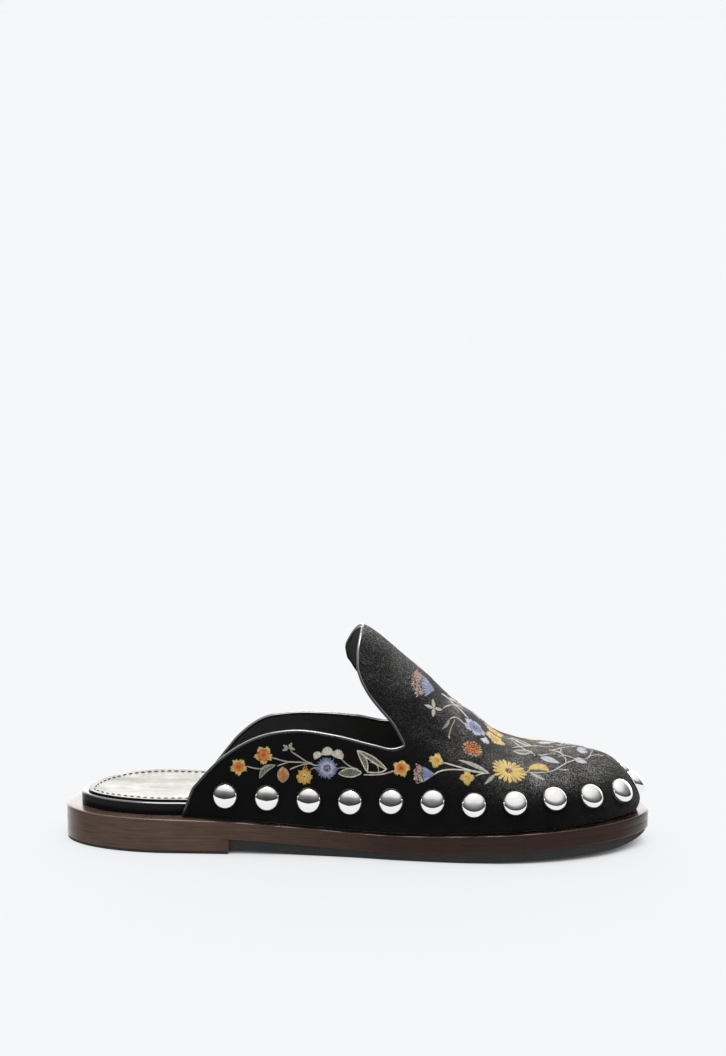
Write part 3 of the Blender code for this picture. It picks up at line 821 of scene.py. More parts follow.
# one row of stitches round the sock
def makeSockStitches(sockTree):
    look = sockLook
    loop = footbedLoop(look["inset"] + look["stitchInset"])
    steps = look["stitchSteps"]
    seam = evenRun(np.vstack([loop, loop[:1]]), look["stitchPitch"] / steps)
    points, faces = [], []
    for start in range(0, len(seam) - steps, steps):
        line = seam[start:start + look["stitchSpan"]]
        spots = np.array([sockTree.ray_cast(Vector((x, y, look["castFrom"])), Vector((0, 0, -1)))[0]
                          for x, y in line])
        arch = np.sin(np.linspace(0, math.pi, len(line)))
        spots[:, 2] += look["stitchRise"] * arch - look["stitchSink"]
        along = unitRows(np.gradient(spots, axis=0))
        aside = np.cross(along, (0, 0, 1))
        tube, ends = tubeMesh(spots, aside, np.cross(aside, along), look["stitchRadius"],
                              look["stitchSides"])
        first = sum(len(block) for block in points)
        faces += [[corner + first for corner in face] for face in ends]
        points.append(tube)
    addPiece("sock_stitching", np.vstack(points), faces, darkThread, sharp=80)


makeFootbed()
makeSockStitches(makeSock())
print("footbed and sock made")


def makeLastLines():
    outline = soleOutline(last["outlineSteps"], last["outlineSteps"])
    widest = insetOutline(outline, smoothAt(last["section"], "inset", outline[:, 0]))
    tip = int(np.argmax(outline[:, 0]))
    way = {
        inner: np.arange(0, tip + 1),
        outer: np.concatenate([[0], np.arange(len(outline) - 1, tip - 1, -1)]),
    }
    return {side: outline[way[side]] for side in way}, {side: widest[way[side]] for side in way}


edgeLine, widestLine = makeLastLines()


# foot of a column on the upper's widest line, and the sole's x there; toe goes from the ball (0)
# round to the tip (1)
def footOf(side, x, toe):
    line = widestLine[side]
    if toe == 0:
        start = int(np.argmax(line[:, 0] > last["frontOfX"]))
        return np.array([x, np.interp(x, line[start:, 0], line[start:, 1])]), x
    ball = int(np.argmax(line[:, 0] > last["ballX"]))
    run = runAlong(line[ball:])
    where = toe * run[-1]
    return placesAt(line[ball:], run, [where])[0], np.interp(where, run, edgeLine[side][ball:, 0])


# one column of the last's surface, from the welt up to the crown line, and the girth at each point
def lastColumn(side, x, toe=0.0):
    foot, station = footOf(side, x, toe)
    crownX = x + (last["crownEndX"] - last["ballX"]) * math.sin(toe * math.pi / 2) if toe else x
    crown = np.array([crownX, smoothAt(last["crown"], "y", crownX)])
    crownZ = smoothAt(last["crown"], "z", crownX)
    power = 2 / smoothAt(last["section"], "fullness", station)
    baseZ = weltTop(station) + last["gap"]
    widestZ = baseZ + last["tuckHeight"]
    drop = np.linspace(1, 0, last["tuckSteps"], endpoint=False)
    turn = np.linspace(0, math.pi / 2, last["girthSteps"])
    share = np.concatenate([1 - last["tuck"] * drop ** 2 / np.linalg.norm(foot - crown),
                            np.clip(np.cos(turn), 0, None) ** power])
    flat = crown + (foot - crown) * share[:, None]
    z = np.concatenate([widestZ - last["tuckHeight"] * drop,
                        widestZ + (crownZ - widestZ) * np.sin(turn) ** power])
    points = np.column_stack([flat, z])
    if not toe:
        backX = last["backX"][side]
        collar = last["collar"][side]
        lean = (collar["x"][0] - backX) / (collar["z"][0] - weltTop(backX) - last["gap"])
        points[:, 0] += lean * max(0.0, 1 - (x - backX) / last["leanLength"]) ** 2 * (points[:, 2] - baseZ)
    if not toe and x <= last["throatX"]:
        near = min(1.0, (last["throatX"] - x) / (last["throatX"] - last["tongueEndX"])) ** 2
        above = last["sweepRise"] * (points[:, 2] - last["throatZ"]) / (crownZ - last["throatZ"])
        aside = side * (points[:, 1] - crown[1]) / last["tongueRound"][side]
        aside = np.clip(aside, 0, 1) ** last["tongueBend"]
        points[:, 0] += near * last["tongueNose"] * (1 - aside)
        if side == outer:
            points[:, 0] -= near * last["tongueSweep"] * aside * np.clip(above, 0, 1)
    return points, runAlong(points)


# girth at which a column meets an edge of the upper
def girthAtEdge(points, girth, edge):
    above = points[:, 2] - smoothAt(edge, "z", points[:, 0])
    k = int(np.argmax(above > 0))
    share = above[k - 1] / (above[k - 1] - above[k])
    return girth[k - 1] + share * (girth[k] - girth[k - 1])


upperLook = {
    "wallColumns": 70, "tongueColumns": 34, "vampColumns": 46, "toeColumns": 74,
    "wallRows": 44, "topRows": 44,
    "wall": 2.0, "velvet": 0.9, "lining": 0.85,                  # whole wall, and its two skins
    "pile": 0.10, "pileWaves": (0.9, 0.9, 0.9),                  # uneven height of the pile
    "unevenness": 0.25, "slowWaves": (0.07, 0.07, 0.07),         # slow waves in the cloth
    "studDimple": 0.35, "studDimpleRadius": 7.5,
    "pucker": 0.32, "puckerPitch": 6.0, "puckerHeight": 6.0,     # small pleats where the toe is lasted over
    "puckerBehind": 0.35, "puckerLength": 30.0,
    "creases": {                 # soft bends over the vamp: x at the crown, depth, half width, how far down
        "x": (171.0, 182.5, 192.0, 205.0), "depth": (-0.55, 0.35, -0.45, -0.25),
        "width": (5.0, 4.5, 5.0, 6.0), "reach": (26.0, 30.0, 26.0, 20.0),
    },
    "creaseBend": (0.10, 0.12),  # the bends run forward this much to the sides and down
}


# each stud's name, seat, direction off the cloth, radius and height, from its CAD solid
def studSeats():
    seats = []
    for name, node in sorted(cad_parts.items()):
        if name.startswith("stud_"):
            foot = max(node.data.polygons, key=lambda face: face.area)
            rim = [v.co for v in node.data.vertices if abs((v.co - foot.center).dot(foot.normal)) < 1e-5]
            centre = sum(rim, Vector()) / len(rim)
            top = max(node.data.vertices, key=lambda v: -(v.co - centre).dot(foot.normal)).co
            radius = max((v - centre).length for v in rim)
            seats.append((name, centre, -foot.normal, radius, (top - centre).length))
    return seats


studs = studSeats()
studCentres = np.array([seat[1] for seat in studs]) / mm + shift


# open surface of the upper, each point's place (run, girth, side) and the edge of the opening in order
def upperSurface():
    look = upperLook
    points, faces, places = [], [], []
    edges = {}

    def strip(side, spots, whereOn):
        columns, girths = [], []
        for x, toe in spots:
            column, girth = lastColumn(side, x, toe)
            where = whereOn(x, column, girth)
            columns.append(placesAt(column, girth, where))
            girths.append(where)
        first = sum(len(block) for block in points)
        rows = len(columns[0])
        # past the ball, runs count hundredths of the way round the toe
        runs = np.repeat([x + toe * 100.0 for x, toe in spots], rows)
        points.append(np.vstack(columns))
        places.append(np.column_stack([runs, np.concatenate(girths), np.full(len(runs), side)]))
        for number in range(len(columns) - 1):
            a = first + number * rows + np.arange(rows - 1)
            quad = np.column_stack([a, a + rows, a + rows + 1, a + 1])
            faces.append(quad[:, ::-1] if side == outer else quad)
        return columns

    def columnsAt(start, end, count):
        return [(x, 0.0) for x in np.linspace(start, end, count + 1)]

    for side in (inner, outer):
        collar, tongue = last["collar"][side], last["tongue"][side]
        column, girth = lastColumn(side, last["throatX"])
        throat = girthAtEdge(column, girth, tongue) / girth[-1]

        def onWall(x, column, girth):
            edge = tongue if x == last["throatX"] else collar
            return np.linspace(0, girthAtEdge(column, girth, edge), look["wallRows"] + 1)

        def onTongue(x, column, girth):
            return np.linspace(girthAtEdge(column, girth, tongue), girth[-1], look["topRows"] + 1)

        # the rows part at the throat, and further forward half way up
        def onFront(x, column, girth):
            blend = (x - last["throatX"]) / (last["ballX"] - last["throatX"])
            split = girth[-1] * (throat + (0.5 - throat) * blend)
            return np.concatenate([np.linspace(0, split, look["wallRows"] + 1),
                                   np.linspace(split, girth[-1], look["topRows"] + 1)[1:]])

        wall = strip(side, columnsAt(last["backX"][side], last["throatX"], look["wallColumns"]), onWall)
        top = strip(side, columnsAt(last["tongueEndX"], last["throatX"], look["tongueColumns"]), onTongue)
        vamp = columnsAt(last["throatX"], last["ballX"], look["vampColumns"])
        toes = [(last["ballX"], toe) for toe in np.linspace(0, 1, look["toeColumns"] + 1)[1:]]
        strip(side, vamp + toes, onFront)
        edges[side] = np.vstack([wall[0], [column[-1] for column in wall[1:]],
                                 [column[0] for column in top[-2::-1]], top[0][1:]])
    opening = np.vstack([edges[inner], edges[outer][-2::-1]])
    return np.vstack(points), np.vstack(faces), np.vstack(places), opening


def weld(points, faces, places):
    keys = np.round(points, 3)
    first, which = np.unique(keys, axis=0, return_index=True, return_inverse=True)[1:]
    return points[first], which.reshape(-1)[faces], places[first]


def vertexNormals(points, faces):
    normals = np.zeros_like(points)
    a, b, c, d = (points[faces[:, k]] for k in range(4))
    flat = np.cross(c - a, d - b)
    for k in range(4):
        np.add.at(normals, faces[:, k], flat)
    return unitRows(normals)


# how far the cloth stands out from the last at each point
def clothRelief(points, places):
    look = upperLook
    relief = np.zeros(len(points))
    for centre in studCentres:
        relief -= look["studDimple"] * bell(np.linalg.norm(points - centre, axis=1), look["studDimpleRadius"])
    fallen = smoothAt(last["crown"], "z", points[:, 0]) - points[:, 2]
    aside, down = look["creaseBend"]
    for x, depth, width, reach in zip(*look["creases"].values()):
        fall = np.clip(1 - fallen / reach, 0, 1)
        bendX = x + aside * np.abs(points[:, 1]) + down * fallen
        relief += depth * bell(points[:, 0] - bendX, width) * fall * fall * (3 - 2 * fall)
    toe = np.clip((places[:, 0] - last["ballX"]) / look["puckerLength"], 0, 1)
    foot = np.clip(1 - places[:, 1] / look["puckerHeight"], 0, 1)
    pleats = noiseAt(points, (1 / look["puckerPitch"], 1 / look["puckerPitch"], 0))
    relief += look["pucker"] * pleats * foot * (look["puckerBehind"] + (1 - look["puckerBehind"]) * toe)
    relief += look["pile"] * noiseAt(points, look["pileWaves"])
    return relief + look["unevenness"] * noiseAt(points, look["slowWaves"], 5.0)


basePoints, upperFaces, upperPlaces, openingEdge = upperSurface()
basePoints, upperFaces, upperPlaces = weld(basePoints, upperFaces, upperPlaces)
baseNormals = vertexNormals(basePoints, upperFaces)
velvetPoints = basePoints + baseNormals * clothRelief(basePoints, upperPlaces)[:, None]
velvetTree = BVHTree.FromPolygons(velvetPoints.tolist(), upperFaces.tolist())


def thicken(piece, name, thickness):
    body = piece.modifiers.new(name, "SOLIDIFY")
    body.thickness = thickness * mm
    body.offset = -1.0


def makeUpper():
    look = upperLook
    shell = addPiece("velvet_upper", velvetPoints, upperFaces, velvet, ["upper"])
    thicken(shell, "backing", look["velvet"])
    lining = basePoints - baseNormals * (look["wall"] - look["velvet"])
    skin = addPiece("leather_lining", lining, upperFaces, liningLeather)
    thicken(skin, "skin", look["lining"])


makeUpper()
print("upper and lining made")


pipingLook = {
    "beadRadius": 0.62, "beadOut": 0.25, "beadIn": 0.45,         # bead over the velvet's edge
    "bindRadius": 0.6, "bindOut": 0.15, "bindIn": 1.55,          # binding over the lining's edge
    "sides": 14, "spacing": 0.9, "smoothing": 1.1, "turnSmoothing": 2.5,
    "insideAt": (180.0, 4.0, 30.0),                              # a place well inside the toe
}


def softened(path, width, spacing):
    reach = int(4 * width / spacing)
    weights = bell(np.arange(-reach, reach + 1) * spacing, width * math.sqrt(2))
    weights /= weights.sum()
    padded = np.vstack([np.repeat(path[:1], reach, axis=0), path, np.repeat(path[-1:], reach, axis=0)])
    return np.column_stack([np.convolve(padded[:, k], weights, "valid") for k in range(path.shape[1])])


def makePiping():
    look = pipingLook
    path = softened(evenRun(openingEdge, look["spacing"]), look["smoothing"], look["spacing"])
    along = unitRows(np.gradient(path, axis=0))
    baseTree = BVHTree.FromPolygons(basePoints.tolist(), upperFaces.tolist())
    out = np.array([baseTree.find_nearest(Vector(p))[1] for p in path])
    out = softened(out, look["turnSmoothing"], look["spacing"])
    out = unitRows(out - along * np.sum(out * along, axis=1)[:, None])
    off = np.cross(along, out)                        # points off the cloth, into the opening
    if np.sum((path - look["insideAt"]) * off) < 0:
        off = -off
    for name, kind, leather in (
            ("topline_piping", "bead", pipingLeather), ("lining_binding", "bind", blackLeather)):
        line = path + off * look[kind + "Out"] - out * look[kind + "In"]
        points, faces = tubeMesh(line, off, out, look[kind + "Radius"], look["sides"])
        addPiece(name, points, faces, leather, sharp=80)


makePiping()
print("piping made")


studLook = {
    "rings": 26, "sides": 64, "fullness": 2.4, "seatDepth": 0.3,
    "lean": 0.15,                # each dome looks up a little: it stands prouder at its lower rim
}


def makeStuds():
    look = studLook
    turn = np.linspace(0, math.pi / 2, look["rings"])[:-1]
    spin = np.linspace(0, 2 * math.pi, look["sides"], endpoint=False)[:, None]
    power = 2 / look["fullness"]
    for name, centre, out, radius, height in studs:
        level = out.cross(Vector((0, 0, 1))).normalized()
        up = np.array(level.cross(out))
        ring = np.cos(spin) * np.array(level) + np.sin(spin) * up
        tilt = -look["lean"] * np.sin(spin)
        middle, away = np.array(centre), np.array(out)
        layers = [middle + ring * radius - away * look["seatDepth"] * mm]
        for rise, reach in zip(np.sin(turn) ** power * height, np.cos(turn) ** power * radius):
            layers.append(middle + ring * reach + away * (rise + reach * tilt))
        points = np.vstack(layers + [[middle + away * height]])
        faces = loopFaces(len(layers), look["sides"]).tolist()
        final = (len(layers) - 1) * look["sides"]
        faces += [[final + k, final + (k + 1) % look["sides"], len(points) - 1] for k in range(look["sides"])]
        faces += [list(range(look["sides"]))[::-1]]
        addPiece("dome_" + name, points / mm + shift, faces, chrome, [name], sharp=60)


makeStuds()
print("studs made")


threadColours = {
    "orange": (0.90, 0.29, 0.04), "deepOrange": (0.64, 0.13, 0.015), "gold": (0.92, 0.50, 0.09),
    "yellow": (0.98, 0.68, 0.22), "cream": (0.80, 0.76, 0.62), "white": (0.84, 0.83, 0.80),
    "sage": (0.36, 0.38, 0.29), "moss": (0.12, 0.15, 0.09), "stem": (0.50, 0.46, 0.37),
    "olive": (0.42, 0.40, 0.25), "tan": (0.33, 0.26, 0.18),
    "cornflower": (0.25, 0.30, 0.49), "dusk": (0.15, 0.17, 0.32), "lilac": (0.66, 0.63, 0.80),
    "peach": (0.84, 0.44, 0.27), "rose": (0.70, 0.52, 0.47), "night": (0.02, 0.02, 0.03),
}
stitchLook = {
    "width": 0.42, "height": 0.24, "steps": 4, "jitter": 0.3, "taper": 0.25, "flatness": 0.35,
    "section": [(-1.0, -0.25), (-0.55, 0.8), (0.55, 0.8), (1.0, -0.25)],
    "stemLength": 2.2, "stemWidth": 0.55, "stemSlant": 0.11, "stemHeight": 1.1,
    "chartAt": 40.0,             # the chart stands this far from the middle line
    "chartLean": 11.0,           # and its motifs fall on the cloth this many degrees down
    "chartRise": 2.4, "chartShift": -0.6,    # moves the whole chart up, and towards the toe
    "castFrom": 90.0, "motifCastFrom": 12.0,
    "fineFromX": 195.0, "fineness": 0.65,    # stems are this thin in front of there
    # the outer wall is lower, so its sprigs are pressed together
    "squeeze": 0.55, "squeezeZ": 31.0, "squeezeFromX": 120.0, "squeezeLength": 40.0,
}


# a pen turns two flat numbers into a place on the cloth and the direction off it
def chartPen(side):
    look = stitchLook
    lean = math.tan(math.radians(look["chartLean"]))
    way = Vector((0, -side, -lean)).normalized()

    def pen(x, z):
        if side == outer:
            share = min(1.0, max(0.0, (x - look["squeezeFromX"]) / look["squeezeLength"]))
            z = look["squeezeZ"] + (z - look["squeezeZ"]) * (look["squeeze"] + (1 - look["squeeze"]) * share)
        x += look["chartShift"]
        z += look["chartRise"]
        start = Vector((x, side * look["castFrom"], z + (look["castFrom"] - look["chartAt"]) * lean))
        point, normal = velvetTree.ray_cast(start, way)[:2]
        if point is None or side * point.y < 0 and x < last["throatX"]:
            return None          # past the edge of the cloth
        return point, normal
    return pen


# pen for a motif: millimetres along and across from its middle, on the cloth's own slope
def motifPen(side, x, z, turn=0.0, long=1.0, high=1.0):
    spot = chartPen(side)(x, z)
    if spot is None:
        return lambda a, b: None
    middle, normal = spot
    along = Vector((1, 0, 0)) - normal * normal.x
    along.normalize()
    up = normal.cross(along) * -side
    spin = math.radians(turn)
    first = along * math.cos(spin) + up * math.sin(spin)
    second = up * math.cos(spin) - along * math.sin(spin)

    def pen(a, b):
        start = middle + first * a * long + second * b * high + normal * stitchLook["motifCastFrom"]
        point, off = velvetTree.ray_cast(start, -normal, 2 * stitchLook["motifCastFrom"])[:2]
        return None if point is None else (point, off)
    return pen


# pen for a motif that is cast with the chart
def chartOffset(pen, x, z):
    return lambda a, b: pen(x + a, z + b)


def newThreads():
    return {"points": [], "faces": [], "colours": [], "uvs": [], "dice": np.random.default_rng(7)}


# one straight stitch between two places, arched over the cloth, its ends drawn into it
def sew(threads, pen, start, end, colour, width=1.0, height=1.0):
    look = stitchLook
    share = np.linspace(0, 1, look["steps"])
    spots = [pen(*(np.array(start) + (np.array(end) - start) * t)) for t in share]
    if None in spots:
        return
    points = np.array([spot[0] for spot in spots])
    normals = np.array([spot[1] for spot in spots])
    along = points[-1] - points[0]
    length = max(np.linalg.norm(along), 1e-6)
    across = unitRows(np.cross(normals, along / length))
    swell = np.sin(math.pi * share)
    half = width * look["width"] / 2 * (1 - look["taper"] + look["taper"] * swell)
    arch = height * look["height"] * (look["flatness"] + (1 - look["flatness"]) * swell)
    first = sum(len(block) for block in threads["points"])
    threads["points"].append(np.concatenate([
        [points[k] + across[k] * aside * half[k] + normals[k] * rise * arch[k]
         for aside, rise in look["section"]]
        for k in range(len(share))]))
    tone = 1 + look["jitter"] * threads["dice"].uniform(-1, 1)
    shade = [min(1.0, channel * tone) for channel in threadColours[colour]] + [1.0]
    for k in range(len(share) - 1):
        for column in range(3):
            a = first + k * 4 + column
            threads["faces"].append((a, a + 1, a + 5, a + 4))
            run = [length * share[k], length * share[k + 1]]
            edge = [column / 3, (column + 1) / 3]
            threads["uvs"] += [(run[0], edge[0]), (run[0], edge[1]), (run[1], edge[1]), (run[1], edge[0])]
    threads["colours"] += [shade] * (4 * len(share))
    threads["count"] = threads.get("count", 0) + 1


# smooth line through a few places
def smoothLine(spots, spacing=0.5):
    spots = np.array(spots, float)
    run = runAlong(spots)
    where = np.linspace(0, run[-1], max(2, int(run[-1] / spacing) + 1))
    table = {"x": run, "a": spots[:, 0], "b": spots[:, 1]}
    if len(spots) == 2:
        return spots[0] + (spots[1] - spots[0]) * (where / run[-1])[:, None]
    return np.column_stack([smoothAt(table, "a", where), smoothAt(table, "b", where)])


# stem stitch: short slanting stitches that overlap along a line
def sewStem(threads, pen, spots, colour, width=1.0):
    look = stitchLook
    line = smoothLine(spots, look["stemLength"] * 0.5)
    along = unitRows(np.gradient(line, axis=0))
    aside = leftOf(along) * look["stemSlant"] * width
    wide = width * look["stemWidth"] / look["width"]
    for k in range(len(line) - 1):
        far = min(k + 2, len(line) - 1)
        sew(threads, pen, line[k] - aside[k], line[far] + aside[far], colour, wide, look["stemHeight"])


def ray(turn, squash=1.0):
    return np.array([math.cos(turn), math.sin(turn) * squash])


blossomLook = {
    "rimFrom": 0.8,              # a band that reaches past this share of the radius follows the petals
    "lobeRound": 0.7, "lean": 0.05, "rimHeight": 1.1, "bandHeight": 1.4,
}


# flower of petals round a middle: bands of satin stitch, each (from, to, colour) in shares of the radius
def sewBlossom(threads, pen, radius, petals, bands, notch=0.25, squash=1.0, start=0.0, sweep=360.0,
               rough=0.12, spacing=0.34):
    look = blossomLook
    dice = threads["dice"]
    for low, high, colour in bands:
        count = max(petals * 2, int(math.radians(sweep) * radius * (low + high) / 2 / spacing))
        rim = high > look["rimFrom"]
        height = look["rimHeight"] if rim else look["bandHeight"]
        for k in range(count):
            turn = math.radians(start + sweep * (k + 0.5) / count)
            lobe = abs(math.sin(petals * (turn - math.radians(start)) * 180 / sweep))
            edge = 1 - notch * (1 - lobe ** look["lobeRound"]) * rim
            far = radius * high * edge * (1 + dice.uniform(-rough, rough))
            near = radius * low * (1 + dice.uniform(-rough, rough))
            lean = dice.uniform(-look["lean"], look["lean"])
            sew(threads, pen, ray(turn + lean, squash) * near, ray(turn, squash) * far, colour, 1.0, height)


knotLook = {"halfLength": 0.28, "turn": 2.4, "width": 1.35, "height": 2.2}


# french knots: short fat stitches scattered in a ring
def sewKnots(threads, pen, radius, count, colours):
    look = knotLook
    for k in range(count):
        spot = ray(look["turn"] * k) * radius * math.sqrt((k + 0.5) / count)
        tip = ray(threads["dice"].uniform(0, math.pi)) * look["halfLength"]
        sew(threads, pen, spot - tip, spot + tip, colours[k % len(colours)], look["width"], look["height"])


daisyLook = {
    "rows": (-1, -0.5, 0, 0.5, 1), "foot": 0.16, "head": 0.42, "tipRound": 0.10, "lengths": (-0.08, 0.04),
    "width": 0.95, "height": 1.5, "edgeDrop": 0.4,
}


# separate long petals round a middle, each of a few stitches side by side
def sewDaisy(threads, pen, radius, petals, colour, tip, inside=0.2, width=1.5, start=0.0, sweep=360.0):
    look = daisyLook
    for k in range(petals):
        along = ray(math.radians(start + sweep * (k + 0.5) / petals))
        aside = leftOf(along)
        long = radius * (1 + threads["dice"].uniform(*look["lengths"]))
        for row in look["rows"]:
            foot = along * radius * inside + aside * row * width * look["foot"]
            head = along * long * (1 - look["tipRound"] * row * row) + aside * row * width * look["head"]
            sew(threads, pen, foot, head, tip if row in (-1, 1) else colour, look["width"],
                look["height"] - look["edgeDrop"] * abs(row))


leafLook = {
    "spacing": 0.42, "reach": 0.92, "swell": 0.8, "width": 0.95, "height": 0.9,
    "veinPlaces": 7, "veinWidth": 0.7, "rimPlaces": 9, "rimWidth": 0.95,
}


# leaf from foot to tip, bowed to one side; its halves are filled with slanting stitches
def sewLeaf(threads, pen, foot, tip, width, fill, rim=None, vein=None, bow=0.0, slant=0.45):
    look = leafLook
    foot, tip = np.array(foot, float), np.array(tip, float)
    length = np.linalg.norm(tip - foot)
    along = (tip - foot) / length
    aside = leftOf(along)

    def spot(t, s):
        swell = math.sin(math.pi * t) ** look["swell"] if 0 < t < 1 else 0.0
        out = bow * length * math.sin(math.pi * t) + s * width / 2 * swell
        return foot + along * length * t + aside * out

    count = int(length / look["spacing"])
    for k in range(1, count):
        t = k / count
        far = min(1.0, t + slant * width / length)
        for side in (-1, 1):
            end = spot(far, side * look["reach"])
            sew(threads, pen, spot(t, 0), end, fill[k % len(fill)], look["width"], look["height"])
    if vein:
        sewStem(threads, pen, [spot(t, 0) for t in np.linspace(0, 1, look["veinPlaces"])], vein,
                look["veinWidth"])
    if rim:
        for side in (-1, 1):
            sewStem(threads, pen, [spot(t, side) for t in np.linspace(0, 1, look["rimPlaces"])], rim,
                    look["rimWidth"])


# leaves in a star round a middle, each (turn, length)
def sewStar(threads, pen, leaves, width, fill, vein):
    for turn, long in leaves:
        sewLeaf(threads, pen, (0, 0), ray(math.radians(turn)) * long, width, fill, vein=vein)


thistleLook = {
    "pitch": 22.0, "lobes": 4.5, "lobeDepth": 0.12, "paleShare": 0.25, "rough": 0.05, "height": 1.3,
    "foot": (0.02, 0.62), "head": (0.4, 1.0),                    # from and to, in shares of the fan
    "tuftThreads": 8, "tuftSpread": 0.85, "tuftFrom": 0.98, "tuftTo": 1.05, "tuftReach": 0.6,
    "tuftBack": (-0.5, 0.1), "tuftAside": (-0.35, 0.35), "tuftLength": 1.6,
    "tuftWidth": 0.85, "tuftHeight": 1.5,
}


# thistle head: a fan of stitches from its foot, and a tuft of mixed threads beyond
def sewThistle(threads, pen, fan, spread, tuft, tuftColours):
    look = thistleLook
    dice = threads["dice"]
    count = int(2 * spread * fan / look["pitch"])
    for k in range(count):
        head = ray(math.radians(180 - spread + 2 * spread * (k + 0.5) / count)) * fan
        lobe = 1 - look["lobeDepth"] * (1 - abs(math.sin(look["lobes"] * math.pi * (k + 0.5) / count)))
        petal = "lilac" if dice.uniform(0, 1) < look["paleShare"] else "cornflower"
        for (low, high), colour in ((look["foot"], "cornflower"), (look["head"], petal)):
            far = high * lobe * (1 + dice.uniform(-look["rough"], look["rough"]))
            sew(threads, pen, head * low, head * far, colour, 1.0, look["height"])
    for _ in range(look["tuftThreads"] * count):
        foot = ray(math.radians(180 + dice.uniform(-look["tuftSpread"], look["tuftSpread"]) * spread))
        foot *= fan * dice.uniform(look["tuftFrom"], look["tuftTo"] + tuft * look["tuftReach"])
        lean = np.array([dice.uniform(*look["tuftBack"]), dice.uniform(*look["tuftAside"])])
        colour = tuftColours[int(dice.integers(len(tuftColours)))]
        sew(threads, pen, foot, foot + lean * look["tuftLength"], colour, look["tuftWidth"],
            look["tuftHeight"])


tuftLook = {
    "squash": 0.9, "swing": 0.7, "lengths": (0.5, 1.0), "behind": 0.4, "ahead": 0.6,
    "middle": 0.62,              # the first colour fills this share of the radius
    "width": 0.85, "height": 1.7,
}


# loose fluffy head of short crossing stitches
def sewTuft(threads, pen, radius, count, colours):
    look = tuftLook
    dice = threads["dice"]
    for _ in range(count):
        reach = radius * math.sqrt(dice.uniform(0, 1))
        turn = dice.uniform(0, 2 * math.pi)
        spot = ray(turn, look["squash"]) * reach
        tip = ray(turn + dice.uniform(-look["swing"], look["swing"])) * dice.uniform(*look["lengths"])
        colour = colours[0]
        if reach >= look["middle"] * radius:
            colour = colours[1 + int(dice.integers(len(colours) - 1))]
        sew(threads, pen, spot - tip * look["behind"], spot + tip * look["ahead"], colour, look["width"],
            look["height"])


# stems of the chart: thread colour, thickness and places (along the shoe, up the chart)
wallStems = [
    ("stem", 1.0, [(82.5, 40.5), (86, 39.5), (89, 39.3), (91.3, 40), (92.8, 41.2)]),
    ("stem", 1.0, [(93, 44.5), (95.5, 44), (98.5, 43), (101.5, 42.6), (105, 42.5), (109, 42.2), (113.5, 41)]),
    ("stem", 0.9, [(96, 40.8), (99, 41.8), (101.5, 42.5)]),
    ("stem", 1.0, [(102, 47.5), (103.5, 46.3), (106, 44.8), (109, 42.7), (111.5, 42)]),
    ("stem", 0.9, [(101.5, 39.2), (104.5, 40.5), (108, 41.6), (111, 42)]),
    ("stem", 0.9, [(110.3, 39), (112, 40.2), (113.8, 40)]),
    ("stem", 0.9, [(124, 44.5), (126.5, 42), (129, 40.5), (131.5, 39.8)]),
    ("sage", 0.9, [(122.5, 40), (125, 40.5), (128, 40), (131, 39.2)]),
    ("rose", 1.1, [(134, 37.4), (139, 37.4), (143.5, 38), (147, 39.2)]),
    ("cream", 1.1, [(165, 38), (167.5, 39.4), (170.5, 40), (174.5, 40.1), (178.5, 39.9), (182.5, 39.1),
                    (187.5, 38.4)]),
    ("cream", 1.1, [(169, 43.2), (172.5, 42.2), (177, 40.9), (181.5, 39.6), (186, 38.8)]),
    ("cream", 1.0, [(183, 37.3), (185.5, 38.2), (189, 38.4)]),
    ("cream", 1.1, [(203.5, 37.6), (206.5, 38.6), (208.8, 40.6)]),
    ("cream", 1.1, [(207, 38.4), (211, 38.2), (215.5, 38.5), (219, 39.4), (222, 41), (225.5, 42.5),
                    (228, 43)]),
    ("cream", 0.9, [(219.5, 39.8), (222.5, 39.2), (225, 39.4)]),
    ("cream", 0.9, [(221, 44.5), (223, 45), (225.5, 44.6), (227.8, 43.9)]),
    ("cream", 0.9, [(223, 44.7), (224.6, 43.6), (223.8, 42)]),
    ("cream", 0.9, [(232.5, 43.3), (234.5, 43.9), (235.6, 45), (237, 46.7)]),
    ("cream", 0.8, [(235.2, 44.6), (238.5, 45), (241.5, 44.5)]),
    ("cream", 1.0, [(198.5, 51.5), (201, 51), (204.5, 50)]),
    ("cream", 1.0, [(200.5, 48.1), (205, 48.2), (210, 48.1), (213.5, 48), (217.5, 47.5)]),
    ("sage", 1.0, [(206, 50.5), (209.5, 49.7), (213, 49), (216.5, 48.5)]),
    ("cream", 1.0, [(217.5, 46.4), (220.5, 46.9), (223.5, 47.5), (227, 47.9), (230, 47.9)]),
    ("cream", 1.0, [(222, 46), (223.2, 47.2)]),
    ("cream", 0.9, [(236, 47), (239, 46.6), (241.5, 46), (244, 45.3)]),
]
tongueStems = [
    ("white", 1.3, [(168.6, 72.6), (170.6, 71.2), (173, 68.9), (175.4, 66.6)]),
    ("tan", 1.5, [(171.4, 69.4), (173.4, 67.6), (175, 65.7), (176.4, 64)]),
    ("cream", 1.2, [(174.6, 67.6), (177, 65.4), (179, 63.3), (180.6, 61.4)]),
    ("cream", 1.0, [(169, 66.5), (171.5, 67.4), (174, 67.5), (176.5, 66.9), (178.5, 65.4)]),
    ("cream", 1.0, [(172, 61.8), (174.3, 62.5), (176, 61.9), (178, 60), (180, 58.4)]),
    ("sage", 0.9, [(174.5, 61.3), (173.1, 59), (172.1, 56.5), (171.5, 54)]),
]


